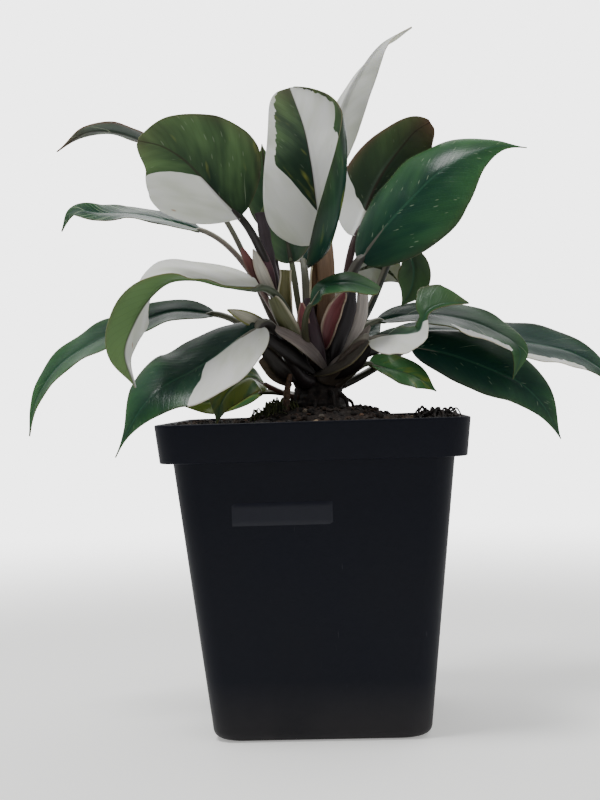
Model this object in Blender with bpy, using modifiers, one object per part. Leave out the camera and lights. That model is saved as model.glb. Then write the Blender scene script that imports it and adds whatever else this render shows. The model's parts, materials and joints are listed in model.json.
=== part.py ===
"""A white-variegated philodendron in a square black nursery pot.

Metres, +Z up. The origin is the centre of the pot's flat base, -Y is the front and +X the right.
The tables of the plant are in millimetres, in the same frame.
"""

import math

import bmesh
import bpy
import numpy as np

MM = 0.001
GAP = 0.4

# The pot, in millimetres: a tapered square body under a wider straight band.
BASE_WIDTH = 106
BODY_TOP_WIDTH = 135
BAND_BOTTOM_WIDTH = 146.4
RIM_WIDTH = 150
POT_HEIGHT = 155
BAND_HEIGHT = 18.6
WALL = 1.6
FOOT_ROUNDING = 5
CORNER_RADIUS = 11
CORNER_STEPS = 4
DRAIN_RADIUS = 4.5
DRAIN_SPREAD = 34
DRAIN_SIDES = 10

# The potting mix: level below the rim, with a mound that the stem stands on.
MIX_LEVEL = 152.2
MOUND_TOP = 159
MOUND_FLAT = 21
MOUND_FOOT = 46
MIX_RINGS = (1, 0.86, 0.7, 0.52, 0.3)

# The stem's outline, as (height, radius), and how steeply a stalk leaves it at each height.
STEM_X = 2
STEM = ((159.4, 14.5), (162, 14.6), (166, 12.9), (172, 12.3), (180, 10.6), (190, 8.6), (197, 5), (200, 1))
STEM_SIDES = 14
LEAN_HEIGHTS = (180, 196)
LEAN_DEGREES = (5, 50)

BLADE_THICKNESS = 0.7
LEAST_WIDTH = 0.2  # so that the blade's two ends still have faces
ROUNDNESS = 0.65  # of a blade's outline, as a power: less is blunter
CURL_POWER = 1.6  # how far out a blade's curl gathers
LOBE_FADE = 5  # how quickly a hanging lobe runs out along the blade, as a power

# Stalks: their taper from foot to head, and how far each end runs straight, as a share of the span.
STALK_POINTS = 8
STALK_TAPER = (1.1, 0.85)
FOOT_REACH = 0.22
HEAD_REACH = 0.35

# One entry a leaf. rib: points along the midrib, from the stalk to the tip. face: the way the upper
# side looks, at even steps along the rib. left and right: for each half, its width, the place of its
# widest point, its fold up from the midrib and its further curl out to the margin, in degrees, as one
# value or at even steps. start: the angle round the stem and the height at which the stalk leaves it.
# stalk: the stalk's radius. tip: how drawn out the tip is. reach: how far the stalk runs straight out.
# A half can add its own tip, and how far in mm its base hangs back past the stalk as a lobe. A width
# given as several numbers is the width at even steps, with no widest point.
LEAVES = {
    "01": dict(
        rib=[(7, -16, 243), (6, -22, 253), (4.5, -26, 265), (2.5, -27, 282), (-1, -22, 301),
             (-8, -14, 323)],
        face=[(0.1, 1, 0.1), (0, 1, 0), (-0.1, 1, 0.1)],
        left=(40, 0.3, (-60, -15, 5, 10), (-190, -180, -110, -50), 0, 18), right=(27, 0.26, 0, 10, -0.35),
        start=(-70, 193), stalk=2.6, tip=0,
    ),
    "02": dict(
        rib=[(-35, -22, 258), (-43, -35, 266), (-51, -47, 275), (-59, -56, 283), (-68, -63, 288),
             (-78, -68, 290)],
        face=[(-0.35, 0.8, 0.45), (-0.3, 0.8, 0.4), (-0.1, 0.9, 0.5)],
        left=(31, 0.44, 0, 0), right=(26, 0.52, 5, (8, 0, 0), 0),
        start=(205, 192), stalk=2.2, tip=0.15,
    ),
    "03": dict(
        rib=[(-54, 6, 273), (-69, 10, 289), (-85, 14, 303), (-102, 16, 310), (-118, 18, 311),
             (-135, 18, 301)],
        face=[(0, 0.12, 1)],
        left=(17, 0.4, 4, 0), right=(17, 0.4, 4, 0),
        start=(160, 186), stalk=1.7,
    ),
    "04": dict(
        rib=[(-57, -5, 254), (-72, -6, 259), (-90, -8, 263), (-108, -10, 264), (-122, -10, 265),
             (-128, -10, 255)],
        face=[(0, -0.3, 0.9), (0, -0.3, 0.9), (-0.3, -0.7, 0.6)],
        left=(15, 0.4, 2, 0), right=(15, 0.4, 2, 0),
        start=(176, 190), stalk=1.7,
    ),
    "05": dict(
        rib=[(-25, -22, 222), (-42, -32, 223), (-56, -44, 226), (-68, -54, 224), (-76, -62, 216),
             (-83, -68, 203), (-87, -72, 190), (-82, -74, 173)],
        face=[(0, -0.45, 0.9), (0, -0.45, 0.9), (-0.1, -0.35, 0.93), (-0.45, 0.6, 0.5),
              (-0.4, 0.9, 0), (-0.4, 0.9, 0)],
        left=(12, 0.68, 8, 0), right=(23, 0.3, (8, 8, 10, 25, 40, 40), 10, 0.6),
        start=(228, 186), stalk=2.4,
    ),
    "06": dict(
        rib=[(-53, 6, 211), (-73, 6, 213), (-91, 4, 208), (-113, 0, 199), (-135, -4, 184),
             (-146, -6, 165), (-149, -6, 150)],
        face=[(0, -0.45, 0.9), (0, -0.45, 0.9), (-0.2, -0.5, 0.85)],
        left=(17, 0.36, 6, 0, 1.1), right=(15, 0.36, 6, 0),
        start=(184, 182), stalk=2.0,
    ),
    "07": dict(
        rib=[(-26, -24, 203), (-38, -34, 195), (-48, -42, 187), (-59, -50, 180), (-72, -56, 173),
             (-81, -60, 164), (-88, -61, 153), (-95, -60, 140)],
        face=[(-0.2, -0.75, 0.65), (-0.2, -0.75, 0.65), (-0.3, -0.9, 0.3)],
        left=(23, 0.4, 0, 0, 1.9), right=(25, 0.4, -5, -10, 1.7),
        start=(226, 174), stalk=3.0,
    ),
    "08": dict(
        rib=[(-25, -14, 173), (-32, -20, 177), (-40, -25, 173), (-46, -29, 165), (-49, -30, 154)],
        face=[(0, -0.6, 0.8), (-0.5, -0.7, 0.5)],
        left=(14, 0.4, 0, 0), right=(14, 0.4, 0, 0),
        start=(192, 166), stalk=1.6,
    ),
    "09": dict(
        rib=[(-29, 10, 169), (-43, 14, 167), (-59, 15, 165), (-76, 14, 165)],
        face=[(0, -0.8, 0.6)],
        left=(9, 0.45, 4, 0), right=(9, 0.45, 4, 0),
        start=(160, 167), stalk=1.6,
    ),
    "10": dict(
        rib=[(11, 26, 284), (14, 26, 304), (20, 24, 323), (30, 20, 339), (39, 16, 349),
             (56, 14, 358)],
        face=[(0.5, 0.85, 0), (0.5, 0.85, 0), (0.6, 0.7, -0.3), (0.75, 0.5, -0.4), (0.6, -0.7, -0.3)],
        left=(12, 0.42, 20, 20), right=(12, 0.42, 20, 20),
        start=(75, 196), stalk=2.0,
    ),
    "11": dict(
        rib=[(23, 12, 249), (28, 17, 262), (37, 20, 281), (48, 22, 296), (57, 19, 305),
             (64, 13, 308)],
        face=[(0.0, 1, 0.2)],
        left=(20, 0.5, 0, 10, -0.2), right=(18, 0.4, 0, 10, 0),
        start=(30, 192), stalk=2.2,
    ),
    "12": dict(
        rib=[(25, 0, 236), (38, -2, 252), (52, -4, 266), (67, -6, 279), (84, -6, 288),
             (98, -6, 291), (112, -4, 290)],
        face=[(-0.2, -0.9, 0.4), (-0.1, -0.9, 0.4), (0, -0.9, 0.4)],
        left=(25, 0.42, -12, -30, 1.2), right=(28, 0.4, 0, -10, 1.7),
        start=(-20, 192), stalk=2.8,
    ),
    "13": dict(
        rib=[(0, -30, 212), (6, -34, 220), (18, -38, 222), (34, -40, 217)],
        face=[(0.1, -0.6, 0.8)],
        left=(9, 0.5, 0, 0), right=(9, 0.5, 0, 0),
        start=(-105, 184), stalk=1.6, tip=-0.3,
    ),
    "14": dict(
        rib=[(50, 12, 242), (53, 14, 232), (51, 14, 220), (46, 12, 212)],
        face=[(0.3, -0.9, 0.2)],
        left=(9, 0.45, 10, 0), right=(9, 0.45, 10, 0),
        start=(12, 188), stalk=1.8, reach=0.45,
    ),
    "15": dict(
        rib=[(23, 20, 233), (33, 24, 235), (41, 26, 231), (46, 26, 225)],
        face=[(0.1, 0.8, 0.5)],
        left=(12, 0.45, 0, 0), right=(12, 0.45, 0, 0),
        start=(57, 189), stalk=1.6,
    ),
    "16": dict(
        rib=[(27, -26, 194), (34, -31, 195.5), (42, -35, 196), (48.5, -38, 196), (53, -39, 197),
             (55, -38, 201.5), (57, -37, 206), (62, -36, 209), (67, -36, 210), (78, -34, 210)],
        face=[(0, -0.8, 0.6), (0, -0.8, 0.6), (0, -1, 0.2), (0, -0.9, 0.3)],
        left=((0.5, 3.5, 6, 7, 5.5, 3.5, 2.5, 14, 12, 6.5, 0.3), 0, -20, 0),
        right=((0.5, 8.5, 13, 15, 13, 4, 1.5, 1.5, 1.5, 1, 0.3), 0, 0, 15),
        start=(-50, 176), stalk=3.2,
    ),
    "17": dict(
        rib=[(34, 12, 205), (52, 15, 208), (72, 16, 206), (92, 15, 199), (107, 12, 187),
             (103, 10, 172)],
        face=[(0, -0.35, 0.93), (0, -0.45, 0.9), (0.5, -0.5, 0.6)],
        left=(17, 0.4, 4, 0), right=(18, 0.45, 4, 0),
        start=(34, 187), stalk=2.0,
    ),
    "18": dict(
        rib=[(51, 10, 191), (71, 14, 186), (91, 16, 178), (107, 16, 170), (119, 14, 157),
             (127, 12, 140)],
        face=[(0.1, -0.8, 0.6)],
        left=(20, 0.4, 0, -15), right=(16, 0.4, 0, -15),
        start=(8, 182), stalk=2.4,
    ),
    "19": dict(
        rib=[(79, 44, 197), (101, 54, 194), (123, 60, 191), (143, 62, 185), (157, 62, 176),
             (169, 60, 162)],
        face=[(0.1, -0.55, 0.82)],
        left=(19, 0.4, 4, 0), right=(19, 0.4, 4, 0),
        start=(26, 172), stalk=2.0,
    ),
    "20": dict(
        rib=[(29, -8, 182), (40, 0, 179), (52, 8, 175), (63, 11, 167)],
        face=[(0, -0.7, 0.7)],
        left=(12, 0.45, 5, 0), right=(12, 0.45, 5, 0),
        start=(-28, 172), stalk=1.6,
    ),
    "21": dict(
        rib=[(37, 28, 197), (56, 33, 200), (70, 35, 200), (83, 35, 199)],
        face=[(0, -0.3, 0.85)],
        left=(12, 0.45, 4, 0), right=(12, 0.45, 4, 0),
        start=(48, 176), stalk=1.6,
    ),
    "22": dict(
        rib=[(-23, 26, 256), (-25, 30, 273), (-25, 32, 289), (-26, 32, 303)],
        face=[(0.1, 1, 0)],
        left=(10, 0.45, 4, 0), right=(10, 0.45, 4, 0),
        start=(172, 194), stalk=1.8,
    ),
    "23": dict(
        rib=[(-11, 14, 237), (-13, 18, 249), (-15, 22, 266), (-15, 22, 282)],
        face=[(0.1, 1, 0)],
        left=(15, 0.45, 4, 0), right=(15, 0.45, 4, 0),
        start=(140, 194), stalk=1.8,
    ),
    "24": dict(
        rib=[(16, 17, 192), (25, 21, 198), (36, 24, 207)],
        face=[(-0.3, -0.8, 0.5)],
        left=(9, 0.45, 4, 0), right=(9, 0.45, 4, 0),
        start=(66, 181), stalk=1.6,
    ),
    "25": dict(
        rib=[(-6, 38, 240), (-10, 56, 262), (-16, 74, 278), (-24, 90, 284)],
        face=[(-0.2, -0.5, 0.8)],
        left=(19, 0.42, 6, 0), right=(19, 0.42, 6, 0),
        start=(112, 190), stalk=2.2,
    ),
    "26": dict(
        rib=[(34, 44, 246), (46, 62, 262), (60, 80, 270), (76, 96, 266)],
        face=[(0.2, -0.3, 0.9)],
        left=(20, 0.42, 6, 0), right=(20, 0.42, 6, 0),
        start=(86, 183), stalk=2.2,
    ),
}

# The other growth at the crown: scoops that clasp the stalks, in the same terms as a blade.
SHEATHS = {
    "left": dict(
        rib=[(-8, -17, 189), (-12, -21, 201), (-17, -23, 212)],
        face=[(0.4, 0.8, 0.3)],
        left=(5, 0.4, 10, 60), right=(5, 0.4, 10, 60),
    ),
    "right": dict(
        rib=[(8, -17, 189), (10, -21, 202), (13, -22, 215)],
        face=[(-0.2, 0.9, 0.3)],
        left=(5, 0.4, 10, 60), right=(5, 0.4, 10, 60),
    ),
}
SPIKE = ((2, 0, 200.9, 2.8), (2, -2, 215, 2.6), (3, -4, 230, 1.7), (4, -5, 243, 0.6))
AERIAL_ROOT = ((-13, -14, 160.2, 1.6), (-12, -12.5, 164, 1.5), (-9.6, -10.2, 168, 1.4))
CLUMP_CENTRE = (60, -30, 157.8)
CLUMP_SIZE = (11, 6, 3.8)

# Small blades get a coarser grid than large ones, as (length up to, rows, columns a side).
GRIDS = ((60, 6, 2), (92, 8, 3), (1000, 9, 4))

COLOURS = {
    "black plastic": ((0.012, 0.013, 0.016, 1), 0.45),
    "potting mix": ((0.03, 0.022, 0.017, 1), 0.95),
    "leaf green": ((0.03, 0.13, 0.045, 1), 0.3),
    "leaf white": ((0.72, 0.73, 0.66, 1), 0.4),
    "stalk": ((0.1, 0.06, 0.05, 1), 0.4),
    "stem bark": ((0.05, 0.035, 0.03, 1), 0.8),
    "sheath": ((0.45, 0.3, 0.25, 1), 0.5),
}
WHITE_LEAVES = ("01", "10", "15")


def clear_scene():
    for thing in list(bpy.data.objects):
        bpy.data.objects.remove(thing, do_unlink=True)


def material(name, look):
    """A Principled material of one of the plain colours above."""
    colour, roughness = COLOURS[look]
    made = bpy.data.materials.new(name)
    made.use_nodes = True
    shader = made.node_tree.nodes["Principled BSDF"]
    shader.inputs["Base Color"].default_value = colour
    shader.inputs["Roughness"].default_value = roughness
    shader.inputs["Metallic"].default_value = 0
    made.diffuse_color = colour
    return made


def object_of(name, mesh, look, collection):
    thing = bpy.data.objects.new(name, mesh)
    collection.objects.link(thing)
    if look:
        mesh.materials.append(material(name, look))
    return thing


def smooth(mesh, sharp_degrees=40):
    mesh.shade_smooth()
    mesh.set_sharp_from_angle(angle=math.radians(sharp_degrees))


def unit(vectors):
    return vectors / np.linalg.norm(vectors, axis=-1, keepdims=True)


def through(points, at):
    """Where the smooth curve through the points is, at each share (0 to 1) of its length."""
    points = np.array(points, float)
    steps = np.linalg.norm(np.diff(points, axis=0), axis=1)
    knots = np.concatenate([[0], np.cumsum(steps)]) / steps.sum()
    slopes = np.gradient(points, knots, axis=0)
    before = np.clip(np.searchsorted(knots, at, side="right") - 1, 0, len(points) - 2)
    span = (knots[before + 1] - knots[before])[:, None]
    t = (at - knots[before])[:, None] / span
    return (
        (2 * t**3 - 3 * t**2 + 1) * points[before]
        + (t**3 - 2 * t**2 + t) * span * slopes[before]
        + (3 * t**2 - 2 * t**3) * points[before + 1]
        + (t**3 - t**2) * span * slopes[before + 1]
    )


def evenly(values, at):
    """Values given at even steps, read at each share of the length. One value holds all along."""
    values = np.atleast_1d(np.array(values, float))
    places = np.linspace(0, 1, len(values))
    if values.ndim == 1:
        return np.interp(at, places, values)
    return np.stack([np.interp(at, places, column) for column in values.T], axis=1)


def half_width(at, width, widest, tip):
    """The outline of one half of a blade: round at its base, and drawn out to a tip."""
    if not np.isscalar(width):
        return evenly(width, at)
    share = 0.008 + 0.986 * at
    swell = np.sin(math.pi * share ** (math.log(0.5) / math.log(widest)))
    return LEAST_WIDTH + width * swell ** (ROUNDNESS + tip * share**2)


def blade_points(leaf, at, columns):
    """The blade's points as [row, column], with the left margin first and the right margin last."""
    centre = through(leaf["rib"], at)
    along = unit(np.gradient(centre, at, axis=0))
    face = evenly(leaf["face"], at)
    face = unit(face - (face * along).sum(axis=1, keepdims=True) * along)
    left = np.cross(face, along)
    halves = []
    for side, half in ((left, leaf["left"]), (-left, leaf["right"])):
        width, widest, fold, curl, *own = half
        tip = own[0] if own else leaf.get("tip", 0.85)
        lobe = own[1] if len(own) > 1 else 0
        step = half_width(at, width, widest, tip) / columns
        back = (2 * lobe / np.max(width) * step * (1 - at) ** LOBE_FADE)[:, None] * along
        points = [centre]
        for column in range(columns):
            out = (column + 0.5) / columns
            turn = np.radians(evenly(fold, at) + evenly(curl, at) * out**CURL_POWER)
            move = np.cos(turn)[:, None] * side + np.sin(turn)[:, None] * face
            points.append(points[-1] + step[:, None] * move - out * back)
        halves.append(points)
    return np.stack(halves[0][::-1] + halves[1][1:], axis=1)


def rib_length(leaf):
    return np.linalg.norm(np.diff(np.array(leaf["rib"], float), axis=0), axis=1).sum()


def blade(name, leaf, look, collection):
    """A grid bent to the blade's shape, and thickened on both sides."""
    rows, columns = next(grid[1:] for grid in GRIDS if rib_length(leaf) <= grid[0])
    at = (1 - np.cos(math.pi * np.arange(rows + 1) / rows)) / 2
    points = blade_points(leaf, at, columns)
    mesh = bpy.data.meshes.new(name)
    shape = bmesh.new()
    bmesh.ops.create_grid(shape, x_segments=2 * columns, y_segments=rows, size=1)
    for vertex in shape.verts:
        column = round((vertex.co.x + 1) * columns)
        row = round((vertex.co.y + 1) / 2 * rows)
        vertex.co = points[row, column] * MM
    shape.to_mesh(mesh)
    shape.free()
    smooth(mesh, 60)
    thing = object_of(name, mesh, look, collection)
    solidify = thing.modifiers.new("Thickness", "SOLIDIFY")
    solidify.thickness = BLADE_THICKNESS * MM
    solidify.offset = 0
    return thing


def tube(name, points, look, collection):
    """A tube through (x, y, z, radius) points, with closed ends."""
    curve = bpy.data.curves.new(name, "CURVE")
    curve.dimensions = "3D"
    curve.bevel_depth = MM
    curve.bevel_resolution = 1
    curve.use_fill_caps = True
    spline = curve.splines.new("POLY")
    spline.points.add(len(points) - 1)
    for place, (x, y, z, radius) in zip(spline.points, points):
        place.co = (x * MM, y * MM, z * MM, 1)
        place.radius = radius
    return object_of(name, curve, look, collection)


def stem_radius(height):
    heights, radii = zip(*STEM)
    return float(np.interp(height, heights, radii))


def stalk_points(leaf):
    """A stalk's curve: it leaves the stem square to its side, and meets the blade along its midrib."""
    angle, height = leaf["start"]
    lean = math.radians(np.interp(height, LEAN_HEIGHTS, LEAN_DEGREES))
    out = np.array([math.cos(math.radians(angle)), math.sin(math.radians(angle)), 0])
    first_way = out * math.cos(lean) + np.array([0, 0, math.sin(lean)])
    radius = STALK_TAPER[0] * leaf["stalk"]
    clear = stem_radius(height - radius) + GAP + radius * math.sin(lean)
    first = np.array([STEM_X, 0, height]) + out * clear
    rib = np.array(leaf["rib"], float)
    last_way = unit(rib[1] - rib[0])
    last = rib[0] - last_way * (GAP + 0.3)
    span = np.linalg.norm(last - first)
    second = first + first_way * span * leaf.get("reach", FOOT_REACH)
    third = last - last_way * span * HEAD_REACH
    t = np.linspace(0, 1, STALK_POINTS)[:, None]
    curve = (1 - t) ** 3 * first + 3 * (1 - t) ** 2 * t * second + 3 * (1 - t) * t**2 * third + t**3 * last
    radii = leaf["stalk"] * np.linspace(*STALK_TAPER, STALK_POINTS)
    return [(*point, radius) for point, radius in zip(curve, radii)]


def rounded_square(half, height):
    """The points of a square with round corners, counter-clockwise from the front right."""
    radius = min(CORNER_RADIUS, 0.45 * half)
    points = []
    for corner in range(4):
        middle = math.radians(90 * corner - 45)
        x = math.copysign(half - radius, math.cos(middle))
        y = math.copysign(half - radius, math.sin(middle))
        for step in range(CORNER_STEPS + 1):
            angle = middle + math.radians(90 * step / CORNER_STEPS - 45)
            points.append((x + radius * math.cos(angle), y + radius * math.sin(angle), height))
    return points


def loft(shape, rings):
    """Joins rings of as many points each, bottom to top, and returns their vertices."""
    made = [[shape.verts.new([value * MM for value in point]) for point in ring] for ring in rings]
    for lower, upper in zip(made, made[1:]):
        for here in range(len(lower)):
            after = (here + 1) % len(lower)
            shape.faces.new((lower[here], lower[after], upper[after], upper[here]))
    return made


def pot(collection, cutters):
    """The wall as an open surface from its base to the rim, thickened inwards, with drain holes."""
    band_bottom = POT_HEIGHT - BAND_HEIGHT
    lean = (BODY_TOP_WIDTH - BASE_WIDTH) / 2 / band_bottom
    rings = []
    for turn in (0, 45, 90):
        inset = FOOT_ROUNDING * (1 - math.sin(math.radians(turn)))
        height = FOOT_ROUNDING * (1 - math.cos(math.radians(turn)))
        rings.append(rounded_square(BASE_WIDTH / 2 + lean * height - inset, height))
    rings.append(rounded_square(BODY_TOP_WIDTH / 2, band_bottom))
    rings.append(rounded_square(BAND_BOTTOM_WIDTH / 2, band_bottom + 0.3))
    rings.append(rounded_square(RIM_WIDTH / 2, POT_HEIGHT))
    mesh = bpy.data.meshes.new("pot")
    shape = bmesh.new()
    made = loft(shape, rings)
    shape.faces.new(made[0][::-1])
    shape.to_mesh(mesh)
    shape.free()
    smooth(mesh, 35)
    thing = object_of("pot", mesh, "black plastic", collection)
    solidify = thing.modifiers.new("Wall", "SOLIDIFY")
    solidify.thickness = WALL * MM
    solidify.offset = -1
    solidify.use_even_offset = True
    holes = thing.modifiers.new("Drain holes", "BOOLEAN")
    holes.object = drain_cutter(cutters)
    return thing


def drain_cutter(cutters):
    """Eight plugs through the base: one in each corner and one in the middle of each side."""
    mesh = bpy.data.meshes.new("drain_cutter")
    shape = bmesh.new()
    for turn in range(8):
        angle = math.radians(45 * turn)
        spread = DRAIN_SPREAD * (1.25 if turn % 2 else 1)
        made = bmesh.ops.create_cone(
            shape,
            cap_ends=True,
            segments=DRAIN_SIDES,
            radius1=DRAIN_RADIUS * MM,
            radius2=DRAIN_RADIUS * MM,
            depth=4 * WALL * MM,
        )
        place = (spread * math.cos(angle) * MM, spread * math.sin(angle) * MM, WALL / 2 * MM)
        bmesh.ops.translate(shape, verts=made["verts"], vec=place)
    shape.to_mesh(mesh)
    shape.free()
    cutter = object_of("drain_cutter", mesh, None, cutters)
    cutter.hide_render = True
    cutter.display_type = "WIRE"
    return cutter


def mix_height(x, y):
    """The potting mix's surface: low lumps, and a flat-topped mound round the stem."""
    rise = np.clip((MOUND_FOOT - math.hypot(x - STEM_X, y)) / (MOUND_FOOT - MOUND_FLAT), 0, 1)
    lumps = 0.7 * math.sin(x / 6 + 1) * math.cos(y / 7) * (1 - rise)
    return MIX_LEVEL + lumps + (MOUND_TOP - MIX_LEVEL) * rise * rise * (3 - 2 * rise)


def potting_mix(collection):
    """One solid that fills the pot a little clear of its wall."""
    band_bottom = POT_HEIGHT - BAND_HEIGHT
    inside = WALL + GAP
    top_half = RIM_WIDTH / 2 - inside - 0.5
    rings = [
        rounded_square(BASE_WIDTH / 2 - inside - FOOT_ROUNDING, inside),
        rounded_square(BASE_WIDTH / 2 - inside, inside + FOOT_ROUNDING),
        rounded_square(BODY_TOP_WIDTH / 2 - inside - 0.3, band_bottom + 0.5),
        rounded_square(BODY_TOP_WIDTH / 2 - inside - 0.3, band_bottom + inside + 0.6),
        rounded_square(BAND_BOTTOM_WIDTH / 2 - inside - 0.3, band_bottom + inside + 0.8),
    ]
    for share in MIX_RINGS:
        flat = rounded_square(top_half, 0)
        ring = [(x * share, y * share, mix_height(x * share, y * share)) for x, y, _ in flat]
        rings.append(ring)
    mesh = bpy.data.meshes.new("potting_mix")
    shape = bmesh.new()
    made = loft(shape, rings)
    shape.faces.new(made[0][::-1])
    shape.faces.new(made[-1])
    shape.to_mesh(mesh)
    shape.free()
    smooth(mesh)
    return object_of("potting_mix", mesh, "potting mix", collection)


def main_stem(collection):
    """The stem's outline turned about its own axis, from its growing tip down to the mix."""
    top = STEM[-1][0]
    bottom = STEM[0][0]
    outline = [(0, top + 0.3), *((radius, height) for height, radius in STEM[::-1]), (0, bottom)]
    mesh = bpy.data.meshes.new("main_stem")
    shape = bmesh.new()
    verts = [shape.verts.new((radius * MM, 0, height * MM)) for radius, height in outline]
    for upper, lower in zip(verts, verts[1:]):
        shape.edges.new((upper, lower))
    shape.to_mesh(mesh)
    shape.free()
    thing = object_of("main_stem", mesh, "stem bark", collection)
    thing.location.x = STEM_X * MM
    screw = thing.modifiers.new("Turned", "SCREW")
    screw.steps = screw.render_steps = STEM_SIDES
    screw.use_merge_vertices = True
    screw.merge_threshold = 0.00001
    return thing


def root_clump(collection):
    """A lump of bark and fine roots that lies on the mix."""
    mesh = bpy.data.meshes.new("root_clump")
    shape = bmesh.new()
    bmesh.ops.create_icosphere(shape, subdivisions=2, radius=1)
    for vertex in shape.verts:
        knobs = 1 + 0.12 * math.sin(7 * vertex.co.x + 3 * vertex.co.z) * math.cos(5 * vertex.co.y)
        vertex.co = [value * knobs * size * MM for value, size in zip(vertex.co, CLUMP_SIZE)]
    shape.to_mesh(mesh)
    shape.free()
    smooth(mesh)
    thing = object_of("root_clump", mesh, "stem bark", collection)
    thing.location = [value * MM for value in CLUMP_CENTRE]
    return thing


def main():
    clear_scene()
    parts = bpy.data.collections.new("potted_philodendron")
    cutters = bpy.data.collections.new("cutters")
    bpy.context.scene.collection.children.link(parts)
    bpy.context.scene.collection.children.link(cutters)
    pot(parts, cutters)
    potting_mix(parts)
    main_stem(parts)
    root_clump(parts)
    tube("aerial_root", AERIAL_ROOT, "stem bark", parts)
    tube("new_leaf_spike", SPIKE, "sheath", parts)
    for side, sheath in SHEATHS.items():
        blade(f"sheath_{side}", sheath, "sheath", parts)
    for number, leaf in LEAVES.items():
        look = "leaf white" if number in WHITE_LEAVES else "leaf green"
        blade(f"leaf_{number}_blade", leaf, look, parts)
        tube(f"leaf_{number}_stalk", stalk_points(leaf), "stalk", parts)


main()
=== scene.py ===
import json
import math
import random

import bmesh
import bpy
import numpy as np
from mathutils import Matrix, Vector, noise

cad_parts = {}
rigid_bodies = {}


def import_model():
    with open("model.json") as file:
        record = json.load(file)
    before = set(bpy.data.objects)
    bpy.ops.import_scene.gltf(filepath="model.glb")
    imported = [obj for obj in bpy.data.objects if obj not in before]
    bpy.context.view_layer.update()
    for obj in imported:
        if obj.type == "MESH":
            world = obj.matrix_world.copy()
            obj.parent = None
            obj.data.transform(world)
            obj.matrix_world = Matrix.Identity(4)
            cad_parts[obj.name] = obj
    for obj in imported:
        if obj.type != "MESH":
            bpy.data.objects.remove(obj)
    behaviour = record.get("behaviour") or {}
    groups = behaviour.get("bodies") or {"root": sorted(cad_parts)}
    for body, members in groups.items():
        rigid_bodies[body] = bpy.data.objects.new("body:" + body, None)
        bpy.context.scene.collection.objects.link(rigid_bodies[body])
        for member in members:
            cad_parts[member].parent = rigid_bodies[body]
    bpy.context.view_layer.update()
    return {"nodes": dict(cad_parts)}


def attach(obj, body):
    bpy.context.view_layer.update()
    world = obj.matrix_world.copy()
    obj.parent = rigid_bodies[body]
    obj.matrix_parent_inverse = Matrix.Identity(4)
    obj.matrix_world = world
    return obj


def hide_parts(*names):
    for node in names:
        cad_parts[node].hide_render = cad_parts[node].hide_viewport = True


for thing in list(bpy.data.objects):
    bpy.data.objects.remove(thing, do_unlink=True)
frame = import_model()

# Tables of the plant are in millimetres, in the frame's own axes: +Z up, -Y the front.
mm = 0.001
rootBody = "root"


def srgb(hexCode):
    channels = [int(hexCode[place:place + 2], 16) / 255 for place in (0, 2, 4)]
    return (*((c / 12.92 if c <= 0.04045 else ((c + 0.055) / 1.055) ** 2.4) for c in channels), 1.0)


# A shader node of a kind, named without its common prefix, with its inputs linked or set.
def addNode(tree, kind, inputs=None, **settings):
    node = tree.nodes.new("ShaderNode" + kind)
    for name, value in settings.items():
        if name == "stops":
            for place, colour in value[2:]:
                node.color_ramp.elements.new(place)
            for element, (place, colour) in zip(node.color_ramp.elements, value):
                element.position = place
                element.color = colour
        else:
            setattr(node, name, value)
    return fill(tree, node, inputs or {})


def fill(tree, node, inputs):
    for name, value in inputs.items():
        if isinstance(value, bpy.types.NodeSocket):
            tree.links.new(value, node.inputs[name])
        else:
            node.inputs[name].default_value = value
    return node


def startMaterial(name):
    material = bpy.data.materials.new(name)
    material.use_nodes = True
    return material, material.node_tree, material.node_tree.nodes["Principled BSDF"]


def unit(vectors):
    return vectors / np.linalg.norm(vectors, axis=-1, keepdims=True)


# A mesh of quads over points[row, column], in millimetres. Its normals point along columns x rows.
def gridMesh(name, points, around=False, ends=False):
    rows, columns = points.shape[:2]
    faces = []
    for row in range(rows - 1):
        for column in range(columns if around else columns - 1):
            after = (column + 1) % columns
            here = row * columns
            faces.append((here + column, here + after, here + columns + after, here + columns + column))
    if ends:
        faces.append(tuple(reversed(range(columns))))
        faces.append(tuple(range((rows - 1) * columns, rows * columns)))
    mesh = bpy.data.meshes.new(name)
    mesh.from_pydata((points.reshape(-1, 3) * mm).tolist(), [], faces)
    mesh.shade_smooth()
    return mesh


# Stores one value, vector or colour for each point, for the materials to read.
def addValues(mesh, name, values):
    values = np.asarray(values, np.float32)
    kinds = {1: ("FLOAT", "value"), 3: ("FLOAT_VECTOR", "vector"), 4: ("FLOAT_COLOR", "color")}
    kind, field = kinds[1 if values.ndim == 1 else values.shape[1]]
    mesh.attributes.new(name, kind, "POINT").data.foreach_set(field, values.ravel())


def addPiece(name, mesh, materials, stands=()):
    piece = bpy.data.objects.new(name, mesh)
    bpy.context.scene.collection.objects.link(piece)
    for material in materials:
        mesh.materials.append(material)
    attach(piece, rootBody)
    if stands:
        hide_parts(*stands)
    return piece


# Where the smooth curve through the points is, at each share (0 to 1) of its length.
def through(points, at):
    points = np.array(points, float)
    steps = np.linalg.norm(np.diff(points, axis=0), axis=1)
    knots = np.concatenate([[0], np.cumsum(steps)]) / steps.sum()
    slopes = np.gradient(points, knots, axis=0)
    before = np.clip(np.searchsorted(knots, at, side="right") - 1, 0, len(points) - 2)
    span = (knots[before + 1] - knots[before])[:, None]
    t = (at - knots[before])[:, None] / span
    return (
        (2 * t**3 - 3 * t**2 + 1) * points[before]
        + (t**3 - 2 * t**2 + t) * span * slopes[before]
        + (3 * t**2 - 2 * t**3) * points[before + 1]
        + (t**3 - t**2) * span * slopes[before + 1]
    )


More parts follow.
